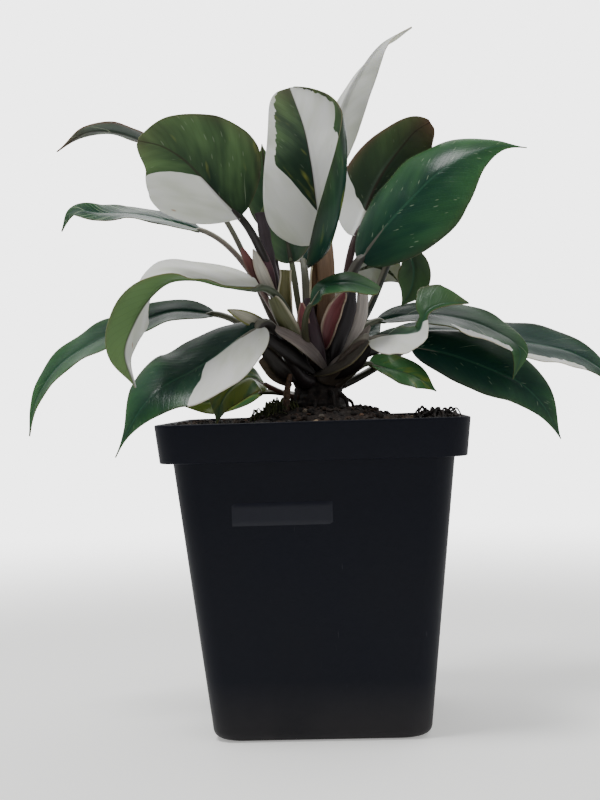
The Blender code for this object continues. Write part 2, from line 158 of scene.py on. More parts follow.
# Values given at even steps, read at each share of the length. One value holds all along.
def evenly(values, at):
    values = np.atleast_1d(np.array(values, float))
    places = np.linspace(0, 1, len(values))
    if values.ndim == 1:
        return np.interp(at, places, values)
    return np.stack([np.interp(at, places, column) for column in values.T], axis=1)


bladeOutline = dict(
    ends=(0.008, 0.994),    # the shares of the full curve at which the blade starts and stops
    leastWidth=0.2,
    roundness=0.65,         # of the blade's foot: smaller is rounder
    tip=0.85,
    curlPower=1.6,          # how late the curl sets in on the way out to the margin
    lobeFade=5,
)


# The half width at each share of the length: round at the foot and drawn out to a tip.
def halfWidth(at, width, widest, tip):
    if not np.isscalar(width):
        return evenly(width, at)
    first, last = bladeOutline["ends"]
    share = first + (last - first) * at
    swell = np.sin(math.pi * share ** (math.log(0.5) / math.log(widest)))
    return bladeOutline["leastWidth"] + width * swell ** (bladeOutline["roundness"] + tip * share**2)


# The blade as points[row, column] from its left to its right margin, with each point's distance from
# the midrib (left is positive), the half width there, and the distance along the midrib.
def bladeSurface(leaf, rows, columns):
    at = (1 - np.cos(math.pi * np.arange(rows + 1) / rows)) / 2
    centre = through(leaf["rib"], at)
    along = unit(np.gradient(centre, at, axis=0))
    face = evenly(leaf["face"], at)
    face = unit(face - (face * along).sum(axis=1, keepdims=True) * along)
    left = np.cross(face, along)
    halves, across, reach = [], [], []
    for side, sign, half in ((left, 1, leaf["left"]), (-left, -1, leaf["right"])):
        width, widest, fold, curl, *own = half
        full = halfWidth(at, width, widest, own[0] if own else leaf.get("tip", bladeOutline["tip"]))
        lobe = own[1] if len(own) > 1 else 0
        fade = (1 - at) ** bladeOutline["lobeFade"]
        back = (2 * lobe / np.max(width) * full / columns * fade)[:, None] * along
        points = [centre]
        for column in range(columns):
            out = (column + 0.5) / columns
            turn = np.radians(evenly(fold, at) + evenly(curl, at) * out ** bladeOutline["curlPower"])
            move = np.cos(turn)[:, None] * side + np.sin(turn)[:, None] * face
            points.append(points[-1] + (full / columns)[:, None] * move - out * back)
        halves.append(points)
        across.append([sign * full * column / columns for column in range(columns + 1)])
        reach.append([full] * (columns + 1))
    join = [np.stack(pair[0][::-1] + pair[1][1:], axis=1) for pair in (halves, across, reach)]
    walked = np.concatenate([[0], np.cumsum(np.linalg.norm(np.diff(centre, axis=0), axis=1))])
    return join[0], join[1], join[2], np.repeat(walked[:, None], 2 * columns + 1, axis=1)


# Moves each point along the surface's normal by a height in millimetres.
def raised(points, height):
    normal = unit(np.cross(np.gradient(points, axis=1), np.gradient(points, axis=0)))
    return points + normal * height[..., None]


# rib: points along the midrib from the stalk to the tip. face: the way the upper side looks, at even
# steps. left and right: each half's width, the place of its widest point, its fold up from the midrib
# and its further curl to the margin in degrees; then how drawn out its tip is and how far its lobe
# reaches back, where they are its own. Several widths are those at even steps. start: the angle round
# the stem and the height at which the stalk leaves it. stalk: its radius.
leafShapes = {
    "01": dict(
        rib=[(7, -16, 243), (6, -22, 253), (4.5, -26, 265), (2.5, -27, 282), (-1, -22, 301),
             (-8, -14, 323)],
        face=[(0.1, 1, 0.1), (0, 1, 0), (-0.1, 1, 0.1)],
        left=(40, 0.3, (-60, -15, 5, 10), (-190, -180, -110, -50), 0, 18), right=(27, 0.26, 0, 10, -0.35),
        start=(-70, 193), stalk=2.6, tip=0,
    ),
    "02": dict(
        rib=[(-35, -22, 258), (-43, -35, 266), (-51, -47, 275), (-59, -56, 283), (-68, -63, 288),
             (-78, -68, 290)],
        face=[(-0.35, 0.8, 0.45), (-0.3, 0.8, 0.4), (-0.1, 0.9, 0.5)],
        left=(31, 0.44, 0, 0), right=(26, 0.52, 5, (8, 0, 0), 0),
        start=(205, 192), stalk=2.2, tip=0.15,
    ),
    "03": dict(
        rib=[(-54, 6, 273), (-69, 10, 289), (-85, 14, 303), (-102, 16, 310), (-118, 18, 311),
             (-135, 18, 301)],
        face=[(0, 0.12, 1)],
        left=(17, 0.4, 4, 0), right=(17, 0.4, 4, 0),
        start=(160, 186), stalk=1.7,
    ),
    "04": dict(
        rib=[(-57, -5, 254), (-72, -6, 259), (-90, -8, 263), (-108, -10, 264), (-122, -10, 265),
             (-128, -10, 255)],
        face=[(0, -0.3, 0.9), (0, -0.3, 0.9), (-0.3, -0.7, 0.6)],
        left=(15, 0.4, 2, 0), right=(15, 0.4, 2, 0),
        start=(176, 190), stalk=1.7,
    ),
    "05": dict(
        rib=[(-25, -22, 222), (-42, -32, 223), (-56, -44, 226), (-68, -54, 224), (-76, -62, 216),
             (-83, -68, 203), (-87, -72, 190), (-82, -74, 173)],
        face=[(0, -0.45, 0.9), (0, -0.45, 0.9), (-0.1, -0.35, 0.93), (-0.45, 0.6, 0.5),
              (-0.4, 0.9, 0), (-0.4, 0.9, 0)],
        left=(12, 0.68, 8, 0), right=(23, 0.3, (8, 8, 10, 25, 40, 40), 10, 0.6),
        start=(228, 186), stalk=2.4,
    ),
    "06": dict(
        rib=[(-53, 6, 211), (-73, 6, 213), (-91, 4, 208), (-113, 0, 199), (-135, -4, 184),
             (-146, -6, 165), (-149, -6, 150)],
        face=[(0, -0.45, 0.9), (0, -0.45, 0.9), (-0.2, -0.5, 0.85)],
        left=(17, 0.36, 6, 0, 1.1), right=(15, 0.36, 6, 0),
        start=(184, 182), stalk=2.0,
    ),
    "07": dict(
        rib=[(-26, -24, 203), (-38, -34, 195), (-48, -42, 187), (-59, -50, 180), (-72, -56, 173),
             (-81, -60, 164), (-88, -61, 153), (-95, -60, 140)],
        face=[(-0.2, -0.75, 0.65), (-0.2, -0.75, 0.65), (-0.3, -0.9, 0.3)],
        left=(23, 0.4, 0, 0, 1.9), right=(25, 0.4, -5, -10, 1.7),
        start=(226, 174), stalk=3.0,
    ),
    "08": dict(
        rib=[(-25, -14, 173), (-32, -20, 177), (-40, -25, 173), (-46, -29, 165), (-49, -30, 154)],
        face=[(0, -0.6, 0.8), (-0.5, -0.7, 0.5)],
        left=(14, 0.4, 0, 0), right=(14, 0.4, 0, 0),
        start=(192, 166), stalk=1.6,
    ),
    "09": dict(
        rib=[(-29, 10, 169), (-43, 14, 167), (-59, 15, 165), (-76, 14, 165)],
        face=[(0, -0.8, 0.6)],
        left=(9, 0.45, 4, 0), right=(9, 0.45, 4, 0),
        start=(160, 167), stalk=1.6,
    ),
    "10": dict(
        rib=[(11, 26, 284), (14, 26, 304), (20, 24, 323), (30, 20, 339), (39, 16, 349),
             (56, 14, 358)],
        face=[(0.5, 0.85, 0), (0.5, 0.85, 0), (0.6, 0.7, -0.3), (0.75, 0.5, -0.4), (0.6, -0.7, -0.3)],
        left=(12, 0.42, 20, 20), right=(12, 0.42, 20, 20),
        start=(75, 196), stalk=2.0,
    ),
    "11": dict(
        rib=[(23, 12, 249), (28, 17, 262), (37, 20, 281), (48, 22, 296), (57, 19, 305),
             (64, 13, 308)],
        face=[(0.0, 1, 0.2)],
        left=(20, 0.5, 0, 10, -0.2), right=(18, 0.4, 0, 10, 0),
        start=(30, 192), stalk=2.2,
    ),
    "12": dict(
        rib=[(25, 0, 236), (38, -2, 252), (52, -4, 266), (67, -6, 279), (84, -6, 288),
             (98, -6, 291), (112, -4, 290)],
        face=[(-0.2, -0.9, 0.4), (-0.1, -0.9, 0.4), (0, -0.9, 0.4)],
        left=(25, 0.42, -12, -30, 1.2), right=(28, 0.4, 0, -10, 1.7),
        start=(-20, 192), stalk=2.8,
    ),
    "13": dict(
        rib=[(0, -30, 212), (6, -34, 220), (18, -38, 222), (34, -40, 217)],
        face=[(0.1, -0.6, 0.8)],
        left=(9, 0.5, 0, 0), right=(9, 0.5, 0, 0),
        start=(-105, 184), stalk=1.6, tip=-0.3,
    ),
    "14": dict(
        rib=[(50, 12, 242), (53, 14, 232), (51, 14, 220), (46, 12, 212)],
        face=[(0.3, -0.9, 0.2)],
        left=(9, 0.45, 10, 0), right=(9, 0.45, 10, 0),
        start=(12, 188), stalk=1.8, reach=0.45,
    ),
    "15": dict(
        rib=[(23, 20, 233), (33, 24, 235), (41, 26, 231), (46, 26, 225)],
        face=[(0.1, 0.8, 0.5)],
        left=(12, 0.45, 0, 0), right=(12, 0.45, 0, 0),
        start=(57, 189), stalk=1.6,
    ),
    "16": dict(
        rib=[(27, -26, 194), (34, -31, 195.5), (42, -35, 196), (48.5, -38, 196), (53, -39, 197),
             (55, -38, 201.5), (57, -37, 206), (62, -36, 209), (67, -36, 210), (78, -34, 210)],
        face=[(0, -0.8, 0.6), (0, -0.8, 0.6), (0, -1, 0.2), (0, -0.9, 0.3)],
        left=((0.5, 3.5, 6, 7, 5.5, 3.5, 2.5, 14, 12, 6.5, 0.3), 0, -20, 0),
        right=((0.5, 8.5, 13, 15, 13, 4, 1.5, 1.5, 1.5, 1, 0.3), 0, 0, 15),
        start=(-50, 176), stalk=3.2,
    ),
    "17": dict(
        rib=[(34, 12, 205), (52, 15, 208), (72, 16, 206), (92, 15, 199), (107, 12, 187),
             (103, 10, 172)],
        face=[(0, -0.35, 0.93), (0, -0.45, 0.9), (0.5, -0.5, 0.6)],
        left=(17, 0.4, 4, 0), right=(18, 0.45, 4, 0),
        start=(34, 187), stalk=2.0,
    ),
    "18": dict(
        rib=[(51, 10, 191), (71, 14, 186), (91, 16, 178), (107, 16, 170), (119, 14, 157),
             (127, 12, 140)],
        face=[(0.1, -0.8, 0.6)],
        left=(20, 0.4, 0, -15), right=(16, 0.4, 0, -15),
        start=(8, 182), stalk=2.4,
    ),
    "19": dict(
        rib=[(79, 44, 197), (101, 54, 194), (123, 60, 191), (143, 62, 185), (157, 62, 176),
             (169, 60, 162)],
        face=[(0.1, -0.55, 0.82)],
        left=(19, 0.4, 4, 0), right=(19, 0.4, 4, 0),
        start=(26, 172), stalk=2.0,
    ),
    "20": dict(
        rib=[(29, -8, 182), (40, 0, 179), (52, 8, 175), (63, 11, 167)],
        face=[(0, -0.7, 0.7)],
        left=(12, 0.45, 5, 0), right=(12, 0.45, 5, 0),
        start=(-28, 172), stalk=1.6,
    ),
    "21": dict(
        rib=[(37, 28, 197), (56, 33, 200), (70, 35, 200), (83, 35, 199)],
        face=[(0, -0.3, 0.85)],
        left=(12, 0.45, 4, 0), right=(12, 0.45, 4, 0),
        start=(48, 176), stalk=1.6,
    ),
    "22": dict(
        rib=[(-23, 26, 256), (-25, 30, 273), (-25, 32, 289), (-26, 32, 303)],
        face=[(0.1, 1, 0)],
        left=(10, 0.45, 4, 0), right=(10, 0.45, 4, 0),
        start=(172, 194), stalk=1.8,
    ),
    "23": dict(
        rib=[(-11, 14, 237), (-13, 18, 249), (-15, 22, 266), (-15, 22, 282)],
        face=[(0.1, 1, 0)],
        left=(15, 0.45, 4, 0), right=(15, 0.45, 4, 0),
        start=(140, 194), stalk=1.8,
    ),
    "24": dict(
        rib=[(16, 17, 192), (25, 21, 198), (36, 24, 207)],
        face=[(-0.3, -0.8, 0.5)],
        left=(9, 0.45, 4, 0), right=(9, 0.45, 4, 0),
        start=(66, 181), stalk=1.6,
    ),
    "25": dict(
        rib=[(-6, 38, 240), (-10, 56, 262), (-16, 74, 278), (-24, 90, 284)],
        face=[(-0.2, -0.5, 0.8)],
        left=(19, 0.42, 6, 0), right=(19, 0.42, 6, 0),
        start=(112, 190), stalk=2.2,
    ),
    "26": dict(
        rib=[(34, 44, 246), (46, 62, 262), (60, 80, 270), (76, 96, 266)],
        face=[(0.2, -0.3, 0.9)],
        left=(20, 0.42, 6, 0), right=(20, 0.42, 6, 0),
        start=(86, 183), stalk=2.2,
    ),
}

# tone: from deep (0) to fresh green (1). streak, yellow, fleck: how much of each there is. wave: how far
# the margin ripples, in mm. slant: how far the side veins run forward. bronze: how reddish brown it is
# all over, and how much more so at its margin and tip. cream: white sectors, each with its half, where
# it starts and ends along the leaf and where between midrib (0) and margin (1).
leafLooks = {
    "01": dict(tone=0.2, yellow=0.6, fleck=0.2, wave=0.3, slant=1.5, cream=(
        ("right", -9, 0.2, 0, 1), ("right", -9, 9, 0.76, 1), ("left", -9, 0.45, 0, 0.5),
        ("left", 0.4, 9, 0, 0.86))),
    "02": dict(tone=0.42, yellow=0.45, fleck=0.4, wave=0.4, slant=1.5, cream=(("right", -9, 0.48, 0, 1),)),
    "03": dict(tone=0.05, streak=0.2, wave=0.6, bronze=(0, 0.8)),
    "04": dict(tone=0.15, streak=0.4, wave=0.4),
    "05": dict(tone=0.9, streak=0.1, wave=0.5, cream=(("right", -9, 9, 0, 1),)),
    "06": dict(tone=0.35, streak=0.1, wave=0.6),
    "07": dict(tone=0.2, streak=0.05, yellow=0.1, fleck=0.3, wave=0.5, slant=1.2, cream=(
        ("left", -9, 0.36, 0, 1),)),
    "08": dict(tone=1.1, yellow=1.3, wave=0.5, bronze=(0.25, 0.3)),
    "09": dict(tone=1.2, yellow=1.4, wave=0.5),
    "10": dict(tone=0.4, wave=0.3, cream=(("both", -9, 9, 0, 1),)),
    "11": dict(tone=0.2, fleck=0.2, wave=0.3, slant=0.9, bronze=(0.04, 0.8), cream=(
        ("both", -9, 0.2, 0, 1),)),
    "12": dict(tone=0.34, fleck=1, wave=0.5),
    "13": dict(tone=0.4, wave=0.4),
    "14": dict(tone=0.45, streak=0.2, wave=0.4, bronze=(0.2, 0.3)),
    "15": dict(tone=0.5, streak=0.5, wave=0.3, cream=(("both", -9, 9, 0.1, 1),)),
    "16": dict(tone=0.35, streak=0.15, wave=0.1, slant=0.6, bronze=(0.1, 0.5), cream=(
        ("right", -9, 0.56, 0.04, 1),)),
    "17": dict(tone=0.3, streak=0.22, wave=0.5, cream=(("right", 0.2, 0.75, 0.72, 1),)),
    "18": dict(tone=0.16, streak=0.08, fleck=0.5, wave=0.5),
    "19": dict(tone=0.05, streak=0.15, wave=0.5, cream=(("right", 0, 0.6, 0.72, 1),)),
    "20": dict(tone=1, yellow=0.9, wave=0.4),
    "21": dict(tone=0.12, streak=0.1, wave=0.4),
    "22": dict(tone=0.3, wave=0.2, cream=(("left", -9, 0.2, 0, 1),)),
    "23": dict(tone=0.3, yellow=0.2, wave=0.3),
    "24": dict(tone=0.12, wave=0.3),
    "25": dict(tone=0.2, streak=0.15, yellow=0.2, wave=0.6, cream=(("left", -9, 0.5, 0, 1),)),
    "26": dict(tone=0.15, streak=0.15, fleck=0.5, wave=0.6),
}
bladeMesh = dict(
    rows=88,
    columns=20,
    thickness=1.7,          # at the foot of the midrib; the sheet between the veins is a share of it
    sheetShare=0.27,
    midribWidth=1.5,
    midribDepth=0.5,
    veinSpacing=4.6,
    veinHeight=0.03,
    puckerHeight=0.35,
    waveLength=24,
    plainRib=3,             # within so many mm of the midrib the side veins fade
    plainTail=7,            # where a half is narrower than this, all the relief fades
)
plainLeaf = dict(streak=0.0, yellow=0.0, fleck=0.0, slant=1.4, bronze=(0, 0.3), cream=())


# How many millimetres each point lies inside the nearest white sector. It is negative outside.
def creamDepth(sectors, across, reach, vein, length):
    depth = np.full(across.shape, -50.0)
    for half, first, last, inner, outer in sectors:
        sign = {"left": 1, "right": -1, "both": 0}[half]
        away = np.abs(across)
        inside = np.minimum(vein - first * length, last * length - vein)
        if inner > 0:
            inside = np.minimum(inside, away - inner * reach)
        if outer < 1:
            inside = np.minimum(inside, outer * reach - away)
        if sign:
            inside = np.minimum(inside, sign * across)
        depth = np.maximum(depth, inside)
    return depth


def makeBlade(number, materials):
    shape = leafShapes[number]
    look = plainLeaf | leafLooks[number]
    points, across, reach, walked = bladeSurface(shape, bladeMesh["rows"], bladeMesh["columns"])
    length = walked.max()
    share = walked / length
    seed = float(int(number) * 7.3)
    vein = walked - look["slant"] * np.abs(across)
    toMargin = np.abs(across) / reach
    midrib = np.exp(-(across / (bladeMesh["midribWidth"] * (1.1 - 0.8 * share))) ** 2)
    swell = np.sin(math.pi * np.clip(share, 0, 1)) ** 0.5
    calm = np.clip(np.abs(across) / bladeMesh["plainRib"], 0, 1) * (1 - toMargin**4) * swell
    height = bladeMesh["veinHeight"] * np.cos(2 * math.pi * vein / bladeMesh["veinSpacing"]) * calm
    height -= bladeMesh["midribDepth"] * midrib * (1 - share)
    pucker = [noise.noise((x * 0.12, y * 0.07, seed)) for x, y in zip(across.ravel(), walked.ravel())]
    height += bladeMesh["puckerHeight"] * np.reshape(pucker, across.shape) * (1 - midrib)
    ripple = np.sin(2 * math.pi * walked / bladeMesh["waveLength"] + np.sign(across) + seed)
    height += look["wave"] * ripple * toMargin**3 * np.sin(math.pi * share)
    height *= np.clip(reach / bladeMesh["plainTail"], 0, 1)
    mesh = gridMesh(f"leafBlade{number}", raised(points, height))
    flat = [value.ravel() for value in (across, walked, np.full(across.shape, seed), vein, share)]
    addValues(mesh, "leafPlace", np.stack(flat[:3], axis=1))
    addValues(mesh, "veinPlace", flat[3])
    addValues(mesh, "creamDepth", creamDepth(look["cream"], across, reach, vein, length).ravel())
    allOver, atEdge = look["bronze"]
    addValues(mesh, "bronze", (allOver + atEdge * np.maximum(toMargin**9, share**9)).ravel())
    looks = [look["tone"], look["streak"], look["yellow"]]
    details = [flat[4], np.full(across.size, look["fleck"]), toMargin.ravel()]
    addValues(mesh, "leafLook", np.tile(looks, (across.size, 1)))
    addValues(mesh, "leafDetail", np.stack(details, axis=1))
    piece = addPiece(f"leafBlade{number}", mesh, materials, [f"leaf_{number}_blade"])
    thick = piece.vertex_groups.new(name="thick")
    sheet = bladeMesh["sheetShare"]
    weights = sheet + (1 - sheet) * midrib * (1 - 0.85 * share)
    for index, weight in enumerate(weights.ravel()):
        thick.add([index], float(weight), "REPLACE")
    solidify = piece.modifiers.new("Thickness", "SOLIDIFY")
    solidify.thickness = bladeMesh["thickness"] * mm
    solidify.offset = -1
    solidify.vertex_group = "thick"
    solidify.material_offset = 1
    solidify.material_offset_rim = 2
    return piece


# Waxy leaf: a living blade with a wax skin. The eye gets a soft wet gloss on deep green above, a dull
# paler green below, and white sectors that stop sharply at the midrib and run out along the side veins.
leafFinish = {
    "upper": dict(deep="17352c", fresh="4a7a48", streak="8d9f84", yellow="8f9a3a", bronze="55382f",
                  rib="2f5540", cream="e4e4e0", creamShade="d0d3c6", rough=0.24, creamRough=0.42),
    "under": dict(deep="1b3022", fresh="5c7a4c", streak="a3ad93", yellow="8f9440", bronze="6e4c42",
                  rib="30241f", cream="d9dad8", creamShade="c6c9c0", rough=0.5, creamRough=0.5),
    "margin": dict(deep="3a4a30", fresh="6f7d4a", streak="a3ad93", yellow="a2a545", bronze="7a5244",
                   rib="6b4a3a", cream="ddd3c0", creamShade="c7bfa2", rough=0.45, creamRough=0.45),
}
# The patterns' sizes in mm, across the side veins and along them, and a shift that sets them apart.
leafPatterns = dict(
    torn=(4.5, 10, 3.1),
    streak=(1.3, 30, 11.7),
    mottle=(14, 17, 5.9),
    golden=(9, 11, 21.3),
    fleck=(1.9, 3.2, 31.1),
    brownSpot=(11, 8, 41.9),
)
wax = dict(
    ior=1.42,
    specular=0.18,
    cellsPerMm=2.2,
    bumpHeight=0.12,
    brownSpot="9c6a44",
    glow=0.12,              # the share of the light that the leaf lets in
    glowDepth=1.2,          # how deep that goes, in mm, and each colour's share of the depth
    glowColours=(0.9, 1.0, 0.35),
)
smooth = dict(interpolation_type="SMOOTHSTEP")


# In every MapRange node input 0 is the value, 1 and 2 are where it comes from, 3 and 4 where it goes.
# In a colour Mix node input 0 is the share, 6 and 7 are the colours and output 2 is the result.
def waxyLeaf(name, finish):
    material, tree, shader = startMaterial(name)
    place = addNode(tree, "Attribute", attribute_name="leafPlace").outputs["Vector"]
    vein = addNode(tree, "Attribute", attribute_name="veinPlace").outputs["Fac"]
    depth = addNode(tree, "Attribute", attribute_name="creamDepth").outputs["Fac"]
    look = addNode(tree, "Attribute", attribute_name="leafLook").outputs["Vector"]
    detail = addNode(tree, "Attribute", attribute_name="leafDetail").outputs["Vector"]
    bronze = addNode(tree, "Attribute", attribute_name="bronze").outputs["Fac"]
    across, _, seed = addNode(tree, "SeparateXYZ", {0: place}).outputs
    tone, streakShare, yellowShare = addNode(tree, "SeparateXYZ", {0: look}).outputs
    share, fleckShare, toMargin = addNode(tree, "SeparateXYZ", {0: detail}).outputs
    away = addNode(tree, "Math", {0: across}, operation="ABSOLUTE").outputs[0]

    # A pattern drawn out along the side veins.
    def alongVeins(pattern, kind="TexNoise"):
        width, length, shift = leafPatterns[pattern]
        spot = addNode(tree, "CombineXYZ", {
            "X": addNode(tree, "Math", {0: vein, 1: 1 / width}, operation="MULTIPLY").outputs[0],
            "Y": addNode(tree, "Math", {0: across, 1: 1 / length}, operation="MULTIPLY").outputs[0],
            "Z": addNode(tree, "Math", {0: seed, 1: shift}, operation="ADD").outputs[0],
        }).outputs[0]
        return addNode(tree, kind, {"Vector": spot, "Scale": 1.0}).outputs

    # White sectors: sharp on the midrib, torn into streaks along the veins elsewhere.
    torn = addNode(tree, "Math", {0: alongVeins("torn")["Fac"], 1: 0.5}, operation="SUBTRACT").outputs[0]
    loose = addNode(tree, "MapRange", {0: away, 1: 0.5, 2: 5, 3: 0, 4: 4.5}, **smooth).outputs[0]
    torn = addNode(tree, "Math", {0: torn, 1: loose}, operation="MULTIPLY").outputs[0]
    within = addNode(tree, "Math", {0: depth, 1: torn}, operation="ADD").outputs[0]
    solid = addNode(tree, "MapRange", {0: within, 1: -0.25, 2: 0.25}, **smooth).outputs[0]
    fine = alongVeins("streak")["Fac"]
    needed = addNode(tree, "Math", {0: streakShare, 1: -0.5, 2: 0.76}, operation="MULTIPLY_ADD").outputs[0]
    streaks = addNode(tree, "Math", {0: fine, 1: needed}, operation="SUBTRACT").outputs[0]
    streaks = addNode(tree, "MapRange", {0: streaks, 1: 0, 2: 0.07, 3: 0, 4: 0.75}, **smooth).outputs[0]

    # The green is deepest at the midrib's foot and freshest at the margin and tip: partly the leaf's own
    # colour, partly painted shade where the blades meet the crown. Leaves with yellow in them are mottled
    # too.
    mottle = alongVeins("mottle")["Fac"]
    strong = addNode(tree, "Math", {0: yellowShare, 1: 1.2, 2: 0.45}, operation="MULTIPLY_ADD").outputs[0]
    patchy = addNode(tree, "Math", {0: mottle, 1: 0.5}, operation="SUBTRACT").outputs[0]
    # Painted shade in part: the green is drawn darker toward the midrib and its foot, paler out to the
    # margin and tip.
    outward = addNode(tree, "Math", {0: toMargin, 1: 0.25, 2: -0.35}, operation="MULTIPLY_ADD").outputs[0]
    onward = addNode(tree, "Math", {0: share, 1: 0.45, 2: outward}, operation="MULTIPLY_ADD").outputs[0]
    shade = addNode(tree, "Math", {0: tone, 1: onward}, operation="ADD").outputs[0]
    shade = addNode(tree, "Math", {0: patchy, 1: strong, 2: shade}, operation="MULTIPLY_ADD").outputs[0]
    shade = addNode(tree, "MapRange", {0: shade}, **smooth).outputs[0]
    green = addNode(tree, "Mix", {0: shade, 6: srgb(finish["deep"]), 7: srgb(finish["fresh"])},
                    data_type="RGBA").outputs[2]

    # Yellow patches, pale streaks and flecks, the side veins' lines and the reddish flush lie on it.
    rare = addNode(tree, "Math", {0: yellowShare, 1: -0.32, 2: 0.78}, operation="MULTIPLY_ADD").outputs[0]
    golden = alongVeins("golden")["Fac"]
    golden = addNode(tree, "Math", {0: golden, 1: rare}, operation="SUBTRACT").outputs[0]
    golden = addNode(tree, "MapRange", {0: golden, 1: 0, 2: 0.2, 3: 0, 4: 0.6}, **smooth).outputs[0]
    cell = alongVeins("fleck", "TexVoronoi")
    chance = addNode(tree, "SeparateXYZ", {0: cell["Color"]}).outputs[0]
    chosen = addNode(tree, "MapRange", {0: chance, 1: 0.86, 2: 0.88, 3: 0, 4: 0.55}, **smooth).outputs[0]
    dot = addNode(tree, "MapRange", {0: cell["Distance"], 1: 0.3, 2: 0.16}, **smooth).outputs[0]
    fleck = addNode(tree, "Math", {0: dot, 1: chosen}, operation="MULTIPLY").outputs[0]
    fleck = addNode(tree, "Math", {0: fleck, 1: fleckShare}, operation="MULTIPLY").outputs[0]
    perBeat = math.pi / bladeMesh["veinSpacing"]
    beat = addNode(tree, "Math", {0: vein, 1: perBeat}, operation="MULTIPLY").outputs[0]
    beat = addNode(tree, "Math", {0: beat}, operation="SINE").outputs[0]
    line = addNode(tree, "Math", {0: beat}, operation="ABSOLUTE").outputs[0]
    veinLine = addNode(tree, "MapRange", {0: line, 1: 0.2, 2: 0, 3: 0, 4: 0.16}, **smooth).outputs[0]
    flush = addNode(tree, "Math", {0: bronze, 1: 0.9}, operation="MULTIPLY").outputs[0]
    covers = (golden, streaks, fleck, veinLine, flush)
    for cover, part in zip(covers, ("yellow", "streak", "streak", "rib", "bronze")):
        hue = srgb(finish[part])
        green = addNode(tree, "Mix", {0: cover, 6: green, 7: hue}, data_type="RGBA").outputs[2]

    # Living white tissue is a warm ivory with greener clouds and a few brown spots.
    clouds = addNode(tree, "MapRange", {0: mottle, 1: 0.35, 2: 0.75}, **smooth).outputs[0]
    cream = addNode(tree, "Mix", {0: clouds, 6: srgb(finish["cream"]), 7: srgb(finish["creamShade"])},
                    data_type="RGBA").outputs[2]
    cell = alongVeins("brownSpot", "TexVoronoi")
    chance = addNode(tree, "SeparateXYZ", {0: cell["Color"]}).outputs[0]
    chosen = addNode(tree, "MapRange", {0: chance, 1: 0.7, 2: 0.72, 3: 0, 4: 0.6}, **smooth).outputs[0]
    dot = addNode(tree, "MapRange", {0: cell["Distance"], 1: 0.12, 2: 0.06}, **smooth).outputs[0]
    brown = addNode(tree, "Math", {0: dot, 1: chosen}, operation="MULTIPLY").outputs[0]
    cream = addNode(tree, "Mix", {0: brown, 6: cream, 7: srgb(wax["brownSpot"])},
                    data_type="RGBA").outputs[2]

    # The midrib is a darker line in the green and all but lost in the white.
    colour = addNode(tree, "Mix", {0: solid, 6: green, 7: cream}, data_type="RGBA").outputs[2]
    ribReach = addNode(tree, "Math", {0: share, 1: -0.9, 2: 1.2}, operation="MULTIPLY_ADD").outputs[0]
    rib = addNode(tree, "Math", {0: away, 1: ribReach}, operation="DIVIDE").outputs[0]
    rib = addNode(tree, "MapRange", {0: rib, 1: 1, 2: 0.5, 3: 0, 4: 0.6}, **smooth).outputs[0]
    lost = addNode(tree, "Math", {0: solid, 1: 0.6}, operation="MULTIPLY").outputs[0]
    ribHue = addNode(tree, "Mix", {0: lost, 6: srgb(finish["rib"]), 7: cream}, data_type="RGBA").outputs[2]
    colour = addNode(tree, "Mix", {0: rib, 6: colour, 7: ribHue}, data_type="RGBA").outputs[2]

    # The skin: cells of half a millimetre, coarser than real ones so that they show, and the veins.
    cells = addNode(tree, "TexNoise", {"Vector": place, "Scale": wax["cellsPerMm"], "Detail": 2.0})
    cells = cells.outputs["Fac"]
    least = finish["rough"] - 0.08
    extra = finish["creamRough"] - finish["rough"]
    rough = addNode(tree, "Math", {0: solid, 1: extra, 2: least}, operation="MULTIPLY_ADD").outputs[0]
    rough = addNode(tree, "Math", {0: cells, 1: 0.16, 2: rough}, operation="MULTIPLY_ADD").outputs[0]
    ridge = addNode(tree, "MapRange", {0: line, 1: 0, 2: 0.35, 3: 0, 4: 0.3}, **smooth).outputs[0]
    relief = addNode(tree, "Math", {0: cells, 1: 0.35, 2: ridge}, operation="MULTIPLY_ADD").outputs[0]
    relief = addNode(tree, "Math", {0: fine, 1: 0.15, 2: relief}, operation="MULTIPLY_ADD").outputs[0]
    bump = addNode(tree, "Bump", {"Height": relief, "Distance": wax["bumpHeight"] * mm, "Strength": 0.6})
    fill(tree, shader, {
        "Base Color": colour,
        "Roughness": rough,
        "Normal": bump.outputs[0],
        "IOR": wax["ior"],
        "Specular IOR Level": wax["specular"],
        "Subsurface Weight": wax["glow"],
        "Subsurface Radius": wax["glowColours"],
        "Subsurface Scale": wax["glowDepth"] * mm,
    })
    return material


leafMaterials = [waxyLeaf(f"waxyLeaf{side.capitalize()}", finish) for side, finish in leafFinish.items()]
for number in leafShapes:
    makeBlade(number, leafMaterials)
print("leaves done")

